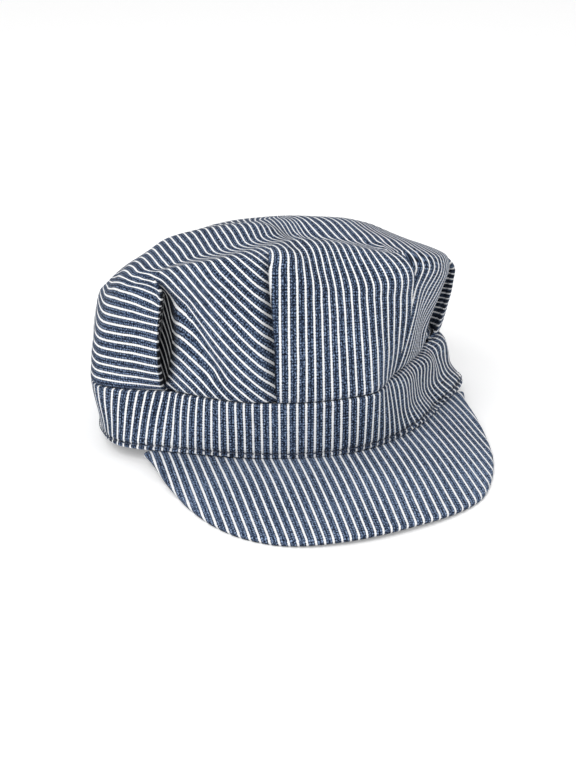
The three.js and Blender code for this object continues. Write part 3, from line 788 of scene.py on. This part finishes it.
def thread_material():
    """Twisted dark blue sewing thread."""
    colours = bpy.context.scene.cap_colours
    material, n, shader = new_material("sewing thread")
    place = n.add("ShaderNodeTexCoord").outputs["Object"]
    fleck = n.noise(place, FLECK, 1.0)
    colour = n.blend(n.ramp(fleck, 0.3, 0.7), shaded(colours.thread, 0.6), shaded(colours.thread, 1.6))
    n.feed(shader, {"Base Color": colour, "Normal": n.bump(fleck, *THREAD_BUMP), "Roughness": 0.7})
    return material


def floor_material():
    """Matt pale floor."""
    colours = bpy.context.scene.cap_colours
    material, n, shader = new_material("pale floor")
    place = n.add("ShaderNodeTexCoord").outputs["Object"]
    cloud = n.noise(place, 3.0, 2.0)
    colour = n.blend(cloud, shaded(colours.floor, 0.99), (*colours.floor, 1.0))
    n.feed(shader, {"Base Color": colour, "Roughness": 0.95, "Specular IOR Level": 0.1,
                    "Emission Color": (1.0, 1.0, 1.0, 1.0), "Emission Strength": FLOOR_GLOW})
    return material


def stitch_tree():
    """Geometry Nodes that lay short stitches of uneven length along a path."""
    tree = bpy.data.node_groups.new("stitch row", "GeometryNodeTree")
    for name, kind in (("Path", "Geometry"), ("Pitch", "Float"), ("Length", "Float"), ("Thread", "Float"),
                       ("Seed", "Int"), ("Material", "Material")):
        tree.interface.new_socket(name, in_out="INPUT", socket_type="NodeSocket" + kind)
    tree.interface.new_socket("Stitches", in_out="OUTPUT", socket_type="NodeSocketGeometry")
    n = Nodes(tree)
    given = n.add("NodeGroupInput").outputs
    path = n.add("GeometryNodeResampleCurve", {"Curve": given["Path"], "Length": given["Pitch"]},
                 mode="LENGTH")
    thread = n.add("GeometryNodeMeshUVSphere",
                   {"Segments": STITCH_SIDES, "Rings": STITCH_RINGS, "Radius": 0.5})
    tangent = n.add("GeometryNodeInputTangent").outputs[0]
    aim = n.add("FunctionNodeAlignRotationToVector", {"Vector": tangent}, axis="X")
    scatter = n.add("FunctionNodeRandomValue", data_type="FLOAT")
    low, high = [s for s in scatter.inputs if s.type == "VALUE" and s.enabled][:2]
    low.default_value, high.default_value = STITCH_RANGE
    n.feed(scatter, {"Seed": given["Seed"]})
    share = [s for s in scatter.outputs if s.enabled][0]
    size = n.vector(n.maths("MULTIPLY", given["Length"], share), given["Thread"], given["Thread"])
    place = n.add("GeometryNodeInstanceOnPoints", {
        "Points": path.outputs[0], "Instance": thread.outputs["Mesh"], "Rotation": aim.outputs[0],
        "Scale": size})
    real = n.add("GeometryNodeRealizeInstances", {0: place.outputs[0]})
    dressed = n.add("GeometryNodeSetMaterial",
                    {"Geometry": real.outputs[0], "Material": given["Material"]})
    even = n.add("GeometryNodeSetShadeSmooth", {0: dressed.outputs[0]})
    n.add("NodeGroupOutput", {0: even.outputs[0]})
    return tree


def stitch_row(name, path):
    """A closed row of stitches along points in millimetres, as a plain mesh piece."""
    sizes = bpy.context.scene.cap_sizes
    curve = bpy.data.curves.new(name, "CURVE")
    curve.dimensions = "3D"
    spline = curve.splines.new("POLY")
    spline.points.add(len(path) - 1)
    flat = np.column_stack([path * MM, np.ones(len(path))])
    spline.points.foreach_set("co", flat.ravel())
    spline.use_cyclic_u = True
    draft = add_object(name + "_path", curve)
    tree = stitch_tree()
    modifier = draft.modifiers.new("stitches", "NODES")
    modifier.node_group = tree
    inputs = {s.name: s.identifier for s in tree.interface.items_tree if s.in_out == "INPUT"}
    modifier[inputs["Pitch"]] = sizes.stitch_pitch
    modifier[inputs["Length"]] = sizes.stitch_pitch * STITCH_LENGTH
    modifier[inputs["Thread"]] = sizes.stitch_thread
    modifier[inputs["Seed"]] = STITCH_SEED
    modifier[inputs["Material"]] = thread_material()
    ready = draft.evaluated_get(bpy.context.evaluated_depsgraph_get())
    mesh = bpy.data.meshes.new_from_object(ready)
    draft.modifiers.clear()
    bpy.data.objects.remove(draft)
    finish_piece(add_object(name, mesh), None)


def crown_columns(shape):
    """Columns of the crown's cloth in order round the cap.

    Each is its kind, the number of its pleat and its share of the way through its layer or panel."""
    columns = []
    for index, pleat in enumerate(PLEATS):
        after = PLEATS[(index + 1) % len(PLEATS)]
        columns += pleat_columns(index, pleat)
        gap = (after.seam - pleat.seam + 360) % 360
        steps = max(PANEL_LEAST, int((gap * shape.per_degree - 2 * PLEAT_MARGIN) / PANEL_STEP))
        columns += [("panel", index, i / steps) for i in range(1, steps)]
    return columns


def pleat_columns(index, pleat):
    """Columns through one pleat, from its lower layer to its upper one, in order round the cap."""
    columns = [(kind, index, float(share)) for kind, shares in LAYERS for share in shares]
    return columns if pleat.side > 0 else columns[::-1]


def place_column(shape, column, level):
    """Angle and push outward of one column at many levels, and the share of the cloth that it has
    passed on the way from the panel before the pleat to the panel after it."""
    kind, index, share = column
    pleat = PLEATS[index]
    edge = pleat_angle(pleat, level)
    if kind == "panel":
        after = PLEATS[(index + 1) % len(PLEATS)]
        after_edge = pleat_angle(after, level) + (360 if after.seam < pleat.seam else 0)
        room = (after_edge - edge) * shape.per_degree
        away = mix(PLEAT_MARGIN, room - PLEAT_MARGIN, share)
        push = layer_push(shape, pleat, away, level, pleat.side > 0)
        push = push + layer_push(shape, after, room - away, level, after.side < 0)
        return edge + away / shape.per_degree, push, np.ones_like(level)
    layer = layer_gap(pleat, level)
    over = layer_push(shape, pleat, 0, level, True)
    under = -layer_push(shape, pleat, 0, level, False)
    narrowed = np.clip(1 - level / pleat.end, 0, 1) ** OVERLAP_POWER
    width = np.maximum(pleat.overlap * shape.depth * narrowed, LEAST_OVERLAP)
    turn, cloth = math.pi * share, 1.0
    if kind == "under":
        away = share * PLEAT_MARGIN
        push = layer_push(shape, pleat, away, level, False)
        cloth = 0.0
    elif kind == "below":
        away = share * width
        push = -under
        cloth = STEP_BELOW * share
    elif kind == "turn_in":
        away = width + layer / 2 * math.sin(turn)
        push = -under + layer / 2 * (1 - math.cos(turn))
        cloth = STEP_BELOW + (1 - STEP_BELOW) * share
    elif kind == "return":
        away = share * width
        push = mix(over - layer, layer - under, share**RETURN_POWER)
    elif kind == "turn_out":
        away = -layer / 2 * math.sin(turn)
        push = over - layer / 2 * (1 + math.cos(turn))
    else:
        away = share * PLEAT_MARGIN
        push = layer_push(shape, pleat, away, level, True)
    cloth = cloth if pleat.side > 0 else 1 - cloth
    closed = smooth((level / pleat.end - CLOSES_FROM) / (1 - CLOSES_FROM))
    away = mix(away, side_by_side(kind, share), closed)
    push = np.broadcast_to(push, level.shape)
    return edge + pleat.side * away / shape.per_degree, push, np.full_like(level, cloth)


def side_by_side(kind, share):
    """Place of a pleat's column across its edge where the fold has ended and the cloth is one layer."""
    if kind in ("under", "over"):
        side = -1 if kind == "under" else 1
        return side * END_SPREAD + share * (PLEAT_MARGIN - END_SPREAD)
    start, end = LAYER_ORDER[kind]
    return mix(-END_SPREAD, END_SPREAD, mix(start, end, 1 - share if kind == "return" else share))


def fall_from_middle(shape, angles):
    """Levels from the middle of the top down, and the distance down the smooth crown to each."""
    steps = np.linspace(1, 0, FALL_STEPS)
    reach, height = shape.profile(angles[None, :], steps[:, None])
    paces = np.hypot(np.diff(reach, axis=0), np.diff(height, axis=0))
    return steps, np.concatenate([np.zeros((1, len(angles))), np.cumsum(paces, axis=0)])


def panel_map(shape, number, angles, above_seam):
    """Cloth map of a wall's panel that is laid straight round the crown."""
    panel = PANELS[number]
    before, after = PLEATS[number - 1], PLEATS[number % len(PLEATS)]
    steps, fall = fall_from_middle(shape, np.array([float(panel.middle)]))
    end = np.interp(1 - (before.end + after.end) / 2, 1 - steps, fall[:, 0])
    middle, turn = math.radians(panel.middle), math.radians(panel.turn)
    across = (angles - panel.middle) * shape.per_degree
    across *= np.where(angles > panel.middle, panel.beyond, panel.fuller)
    down = (fall[-1, 0] - end - above_seam) * panel.fuller
    return np.stack([
        math.sin(middle) * end + across * math.cos(turn) + down * math.sin(turn),
        -math.cos(middle) * end + across * math.sin(turn) - down * math.cos(turn),
    ], -1)


def twist_shift(angles, levels, passed):
    """Millimetres that the twisted cloth shifts the stripes, 0 below the valley in front."""
    keys = [row[0] for row in TWIST]
    at, shift, width = (np.interp(angles, keys, [row[i] for row in TWIST]) for i in (1, 2, 3))
    behind = smooth((levels - at) / width + 0.5)
    beyond = smooth((angles - keys[-1]) / TWIST_COMES) if passed is None else passed
    fade = 1 - smooth((angles - TWIST_FADE[0]) / (TWIST_FADE[1] - TWIST_FADE[0]))
    return shift * np.maximum(behind, beyond) * fade


def crown_cloth(shape, columns, levels):
    """Points, cloth map and painted shade of the crown's folded sheet.

    The top's stripes run as on a flat disc, and below each fold's end they settle to the panel's."""
    size = (len(levels), len(columns))
    angles, pushes, passes, ends, beyond = np.zeros((5, *size))
    for c, column in enumerate(columns):
        kind, index, share = column
        angles[:, c], pushes[:, c], passes[:, c] = place_column(shape, column, levels)
        ends[:, c] = PLEATS[index].end
        if kind == "panel":
            ends[:, c] = mix(PLEATS[index].end, PLEATS[(index + 1) % len(PLEATS)].end, smooth(share))
        beyond[:, c] = passes[:, c] if index == TWIST_PLEAT else float(index > TWIST_PLEAT)
    base = shape.base(angles, levels[:, None])
    push = pushes + shape.crease_push(base)
    points = base + shape.outward(angles, levels[:, None]) * push[..., None]
    steps, fall = fall_from_middle(shape, angles[len(levels) // 2])
    here, there = np.zeros(size), np.zeros(size)
    for c in range(size[1]):
        here[:, c] = np.interp(1 - levels, 1 - steps, fall[:, c])
        there[:, c] = np.interp(1 - ends[:, c], 1 - steps, fall[:, c])
    way = np.radians(angles)
    top = np.stack([np.sin(way) * here, -np.cos(way) * here], -1)
    wall = np.zeros_like(top)
    for c, (kind, index, _) in enumerate(columns):
        above_seam = fall[-1, c] - here[:, c]
        sides = [panel_map(shape, number, angles[:, c], above_seam) for number in (index, index + 1)]
        wall[:, c] = mix(*sides, passes[:, c][:, None])
        if kind in ("under", "below"):
            wall[:, c, 0] -= pushes[:, c] * SINK_SHIFT.get(index, 0.0)
    uvs = mix(top, wall, smooth((here - there) / SETTLE_REACH)[..., None])
    uvs *= bpy.context.scene.cap_sizes.fullness
    # The twist's two sides meet above each fold's end and stay apart in the fold.
    below_end = np.clip((ends - levels[:, None]) / TWIST_JOIN, 0, 1)
    side = np.where(below_end > 0, beyond, 0)
    uvs[..., 0] += twist_shift(angles, levels[:, None], None) * (1 - below_end)
    uvs[..., 0] += twist_shift(angles, levels[:, None], side) * below_end
    # Painted shade in each pleat's under layers, fading away from its edge and growing where the pleat
    # stands open.
    painted_fold_shade = np.zeros(size)
    for c, (kind, index, share) in enumerate(columns):
        if kind not in ("panel", "over"):
            away = share * PLEAT_MARGIN if kind == "under" else 0
            open_share = shape.stand(np.clip(levels / PLEATS[index].end, 0, 1))
            painted_fold_shade[:, c] = smooth(open_share * 2) * np.exp(-((away / PAINTED_SHADE_REACH) ** 2))
            painted_fold_shade[:, c] *= PAINTED_SHADE_IN_OPEN_PLEATS.get(index, 1.0)
    return points, uvs, painted_fold_shade


def crown_hem(shape, columns, lowest, uvs):
    """Rows of the crown's cloth below its lowest row, inside the band and over its edge, with their
    cloth map."""
    hidden = millimetres("band_wall") + CLEARANCE + millimetres("cloth") / 2
    places = [place_column(shape, column, np.zeros(1)) for column in columns]
    angles, pushes = (np.array([place[i][0] for place in places]) for i in range(2))
    rows, maps = [], []
    for share, depth, inward, rise in HEM:
        row = shape.band_point(angles, share, hidden * depth + inward - np.minimum(pushes, 0))
        row[:, 2] += rise
        rows.append(row)
        fall = np.linalg.norm(lowest - row, axis=-1)[:, None]
        maps.append(uvs[0] + (uvs[0] - uvs[1]) * fall / LOWEST_STEP)
    return rows, maps


class CAP_OT_crown(bpy.types.Operator):
    """Folds the crown's one round of cloth into eight pleats over the band"""

    bl_idname = "cap.crown"
    bl_label = "Crown"

    def execute(self, context):
        shape = CapShape()
        columns = crown_columns(shape)
        levels = np.concatenate([np.linspace(*WALL_LEVELS), np.linspace(*TOP_LEVELS)[1:]])
        points, uvs, painted_fold_shade = crown_cloth(shape, columns, levels)
        rows, maps = crown_hem(shape, columns, points[0], uvs)
        points = np.concatenate([rows, points])
        uvs = np.concatenate([maps, uvs])
        painted_fold_shade = np.concatenate([np.repeat(painted_fold_shade[:1], len(rows), axis=0), painted_fold_shade])
        uneven = sum(ripple(points, *entry) for entry in CROWN_RIPPLES)
        grown = np.linspace(0, 1, len(points)).clip(0, RIPPLE_FROM)[:, None, None] / RIPPLE_FROM
        points += grid_normals(points) * uneven[..., None] * grown
        # The sheet's outer and inner face, closed over the middle and along the hem.
        cloth = millimetres("cloth")
        offset = grid_normals(points) * cloth / 2
        count, size = points.shape[0] * points.shape[1], points.shape[1]
        centre = points[-1].mean(0) + np.array([0, 0, MIDDLE_RISE])
        up = np.array([0, 0, cloth / 2])
        positions = np.concatenate([(points + offset).reshape(-1, 3), (points - offset).reshape(-1, 3),
                                    [centre + up], [centre - up]])
        middle = uvs[-1].mean(0)
        maps = np.concatenate([uvs.reshape(-1, 2), uvs.reshape(-1, 2), [middle], [middle]])
        faces = grid_faces(len(points), size) + grid_faces(len(points), size, count, flip=True)
        last = count - size
        for c in range(size):
            after = (c + 1) % size
            faces.append((last + c, last + after, 2 * count))
            faces.append((count + last + after, count + last + c, 2 * count + 1))
            faces.append((after, c, count + c, count + after))
        painted_shade = np.concatenate([painted_fold_shade.ravel(), painted_fold_shade.ravel(), [0, 0]])
        piece = add_mesh("crown_cloth", positions + shape.shift, faces, maps, painted_shade)
        piece.data.materials.append(striped_denim("crown denim"))
        finish_piece(piece, "crown")
        return {"FINISHED"}


def band_section():
    """Section of the band: share of its height and inward place for points round its wall."""
    wall = millimetres("band_wall")
    up = [(share, 0.0) for share in BAND_ROWS]
    over = [(share, inward * wall) for share, inward in BAND_EDGE]
    down = [(share, wall) for share in BAND_INNER_ROWS]
    radius, height = wall / 2, millimetres("band_height")
    under = [(radius / height * (1 - math.sin(turn)), radius + radius * math.cos(turn))
             for turn in np.linspace(0, math.pi, 7)[1:-1]]
    return up + over + down + under


class CAP_OT_band(bpy.types.Operator):
    """Sets the upright band round the head opening"""

    bl_idname = "cap.band"
    bl_label = "Band"

    def execute(self, context):
        shape = CapShape()
        angles = np.arange(-180, 180, BAND_STEP)
        middle = shape.band_point(angles, 0.5)
        step = np.linalg.norm(np.roll(middle, -1, axis=0) - middle, axis=1)
        step *= curve_through(*zip(*BAND_FULLNESS), True)(angles)
        arc = np.concatenate([[0], np.cumsum(step)[:-1]])
        arc -= arc[len(arc) // 2]
        sway = curve_through(*zip(*BAND_SWAY))
        rows, maps = [], []
        for share, inward in band_section():
            rows.append(shape.band_point(angles, share, inward))
            across = arc - sway(share) * shape.slack(angles)
            maps.append(np.column_stack([across, np.full(len(arc), share * shape.band + inward)]))
        points = np.array(rows)
        outer = np.array([inward == 0 for _, inward in band_section()])
        shares = np.array([share for share, _ in band_section()])[:, None]
        bulge = np.sin(np.pi * np.clip(shares, 0, 1))
        groove = -GROOVE_DEPTH * np.exp(-(((shares * shape.band - STITCH_RISE) / GROOVE_REACH) ** 2))
        push = BAND_SWELL * bulge + groove + ripple(points, *BAND_RIPPLE) * bulge
        for angle1, share1, angle2, share2, depth, width in BAND_FOLDS:
            start, end = shape.band_point(angle1, share1), shape.band_point(angle2, share2)
            push -= depth * np.exp(-((distance_to_line(points, start, end) / width) ** 2))
        points += shape.polar(angles, 1.0, 0.0) * (push * outer[:, None])[..., None]
        # The section's last row joins its first, and the last column the first.
        points = np.concatenate([points, points[:1]])
        points = np.concatenate([points, points[:, :1]], axis=1)
        uvs = np.concatenate([maps, maps[:1]])
        uvs = np.concatenate([uvs, uvs[:, :1] + np.array([step.sum(), 0])], axis=1)
        faces = grid_faces(*points.shape[:2], rings=False)
        # Painted shade: a dark line along the groove at the stitch row's height.
        painted_shade = PAINTED_GROOVE_SHADE * np.exp(-(((uvs[..., 1] - STITCH_RISE) / PAINTED_GROOVE_LINE) ** 2))
        piece = add_mesh("band_cloth", points.reshape(-1, 3) + shape.shift, faces, uvs.reshape(-1, 2),
                         painted_shade.ravel())
        merge_seams(piece)
        piece.data.materials.append(striped_denim("band denim"))
        finish_piece(piece, "band")
        path = shape.band_point(angles, STITCH_RISE / shape.band, -STITCH_STAND)
        stitch_row("band_stitches", path + shape.shift)
        return {"FINISHED"}


def merge_seams(piece):
    """Joins the points that lie on each other where a mesh closes, keeping its cloth map."""
    form = bmesh.new()
    form.from_mesh(piece.data)
    bmesh.ops.remove_doubles(form, verts=form.verts, dist=SEAM_REACH)
    form.to_mesh(piece.data)
    form.free()
    piece.data.update()


def visor_map(shape, points, angles, rounding):
    """Cloth map of the visor: flat on top, on round the lip and under it, its stripes turned."""
    top = VISOR_ROWS - 1
    wall, length = millimetres("visor_wall"), millimetres("visor_length")
    radial = shape.polar(angles, 1.0, 0.0)[:, :2]
    flat = points[..., :2].copy()
    for r in range(VISOR_ROWS, len(points)):
        turned = min(r - top, len(rounding) + 1) / (len(rounding) + 1)
        beyond = np.full(len(angles), wall / 2 * math.pi * turned)
        if r > top + len(rounding):
            beyond += np.linalg.norm(flat[r] - flat[top], axis=1)
        flat[r] = flat[top] + radial * beyond[:, None]
    turn = np.radians(curve_through(*zip(*VISOR_TURN))(flat[..., 0]))
    x, y = flat[..., 0], flat[..., 1] + length * VISOR_TURN_FROM
    return np.stack([x * np.cos(turn) + y * np.sin(turn), y * np.cos(turn) - x * np.sin(turn)], -1)


def visor_faces(rows, size):
    """Faces of the visor's wall: over and under, at both ends, and along the band."""
    faces = [(a, a + size, a + size + 1, a + 1) for r in range(rows - 1)
             for a in range(r * size, (r + 1) * size - 1)]
    right = size - 1
    for r in range(rows // 2 - 1):
        a, b, d, e = (row * size for row in (r, r + 1, rows - 1 - r, rows - 2 - r))
        faces.append((a, d, e, b))
        faces.append((b + right, e + right, d + right, a + right))
    under = (rows - 1) * size
    return faces + [(c, c + 1, under + c + 1, under + c) for c in range(size - 1)]


class CAP_OT_visor(bpy.types.Operator):
    """Lays the cloth-covered visor from the band's front to the floor"""

    bl_idname = "cap.visor"
    bl_label = "Visor"

    def execute(self, context):
        shape = CapShape()
        keys = [row[0] for row in LIP]
        length, wall, band_wall, arch, rise = (millimetres(name) for name in (
            "visor_length", "visor_wall", "band_wall", "visor_arch", "front_rise"))
        lip_length = curve_through(keys, [row[1] * length for row in LIP])
        lip_height = curve_through(keys, [row[2] * rise for row in LIP])
        angles = np.linspace(keys[0], keys[-1], VISOR_COLUMNS)
        low = shape.lower_reach(angles)
        inner, outer = low - band_wall, low + lip_length(angles)
        edge = shape.lift(-low * np.cos(np.radians(angles))) - CLEARANCE
        lip = np.maximum(lip_height(angles) - LIP_DROP, 0) + wall

        def upper(share):
            """Upper face on the way from under the band to the lip."""
            start = band_wall / (outer - inner)
            away = np.clip((share - start) / (1 - start), 0, 1)
            swell = arch * (lip_length(angles) / length) * np.sin(np.pi * away) * ARCH_SHARE
            height = np.minimum(mix(edge, lip, away) + swell, edge)
            return shape.polar(angles, mix(inner, outer, share), height)

        shares = np.linspace(0, 1, VISOR_ROWS)
        inset = wall / 2 / (outer - inner)
        rows = [upper(share * (1 - inset)) for share in shares]
        rounding = np.linspace(0, math.pi, LIP_ROWS)[1:-1]
        for turn in rounding:
            row = upper(1 - inset + inset * math.sin(turn))
            row[:, 2] = upper(1.0)[:, 2] - wall / 2 * (1 - math.cos(turn))
            rows.append(row)
        for share in shares[::-1]:
            row = upper(share * (1 - inset))
            row[:, 2] = np.maximum(row[:, 2] - wall, 0)
            rows.append(row)
        points = np.array(rows)
        on_top = np.arange(len(rows)) < VISOR_ROWS
        points[..., 2] += ripple(points, *VISOR_RIPPLE) * on_top[:, None]
        uvs = visor_map(shape, points, angles, rounding)
        # Painted shade on the lower half of the lip's rounding and on the whole underside.
        lip_turn = np.clip((np.arange(len(rows)) - VISOR_ROWS + 1) / (len(rounding) + 1), 0, 1)
        painted_shade = np.repeat(LIP_SHADE * smooth(lip_turn * 2 - LIP_SHADE_FROM), VISOR_COLUMNS)
        faces = visor_faces(len(rows), VISOR_COLUMNS)
        piece = add_mesh("visor_cloth", points.reshape(-1, 3) + shape.shift, faces,
                         uvs.reshape(-1, 2), painted_shade)
        piece.data.materials.append(striped_denim("visor denim", fade=VISOR_FADE))
        finish_piece(piece, "visor")
        return {"FINISHED"}


class CAP_OT_stage(bpy.types.Operator):
    """Adds the floor, the soft studio light and the camera"""

    bl_idname = "cap.stage"
    bl_label = "Stage"

    def execute(self, context):
        shape = CapShape()
        scene = context.scene
        bpy.ops.mesh.primitive_plane_add(size=FLOOR_SIZE, location=(0, 0, 0))
        floor = context.object
        floor.name = "floor"
        floor.data.materials.append(floor_material())
        world = bpy.data.worlds.new("studio")
        world.use_nodes = True
        light = world.node_tree.nodes["Background"].inputs
        light["Color"].default_value = (1, 1, 1, 1)
        light["Strength"].default_value = WORLD_LIGHT
        scene.world = world
        target = Vector((shape.shift + np.array(LAMP_TARGET)) * MM)
        for name, azimuth, elevation, distance, size, power in LAMPS:
            lamp = bpy.data.lights.new(name, "AREA")
            lamp.shape = "SQUARE"
            lamp.size = size
            lamp.energy = power
            holder = add_object(name, lamp)
            holder.location = target + away_from(azimuth, elevation) * distance
            holder.rotation_euler = (target - holder.location).to_track_quat("-Z", "Y").to_euler()
        scene.view_settings.view_transform = "Standard"
        add_camera(shape)
        return {"FINISHED"}


def away_from(azimuth, elevation):
    """Direction from the cap towards a place round it and above it."""
    a, e = math.radians(azimuth), math.radians(elevation)
    return Vector((math.sin(a) * math.cos(e), -math.cos(a) * math.cos(e), math.sin(e)))


def add_camera(shape):
    """A camera at the photograph's angle, framed by a small shift."""
    camera = bpy.data.cameras.new("camera")
    holder = add_object("camera", camera)
    back = away_from(CAMERA_AZIMUTH, CAMERA_ELEVATION)
    sight = Vector((np.array(SIGHT_POINT) + shape.shift) * MM)
    holder.rotation_euler = back.to_track_quat("Z", "Y").to_euler()
    focal = PIXELS_PER_MM * CAMERA_DISTANCE
    camera.sensor_width = SENSOR
    camera.lens = focal / PICTURE[1] * camera.sensor_width
    holder.location = sight + back * CAMERA_DISTANCE * MM
    camera.shift_x = (PICTURE[0] / 2 - SIGHT_IN_PICTURE[0]) / PICTURE[1]
    camera.shift_y = (SIGHT_IN_PICTURE[1] - PICTURE[1] / 2) / PICTURE[1]
    camera.clip_start = 0.01
    bpy.context.scene.camera = holder


class CAP_PT_panel(bpy.types.Panel):
    """Lists the cap's pieces and sizes"""

    bl_label = "Engineer cap"
    bl_idname = "CAP_PT_panel"
    bl_space_type = "VIEW_3D"
    bl_region_type = "UI"
    bl_category = "Cap"

    def draw(self, context):
        column = self.layout.column()
        for operator in OPERATORS:
            column.operator(operator.bl_idname)
        for group in (context.scene.cap_sizes, context.scene.cap_colours):
            for name in group.__annotations__:
                column.prop(group, name)


OPERATORS = (CAP_OT_crown, CAP_OT_band, CAP_OT_visor, CAP_OT_stage)
CLASSES = (CapSizes, CapColours, *OPERATORS, CAP_PT_panel)


def register():
    for entry in CLASSES:
        bpy.utils.register_class(entry)
    bpy.types.Scene.cap_sizes = bpy.props.PointerProperty(type=CapSizes)
    bpy.types.Scene.cap_colours = bpy.props.PointerProperty(type=CapColours)


def unregister():
    del bpy.types.Scene.cap_colours
    del bpy.types.Scene.cap_sizes
    for entry in reversed(CLASSES):
        bpy.utils.unregister_class(entry)


def main():
    register()
    bpy.ops.cap.crown()
    bpy.ops.cap.band()
    bpy.ops.cap.visor()
    bpy.ops.cap.stage()


if __name__ == "__main__":
    main()
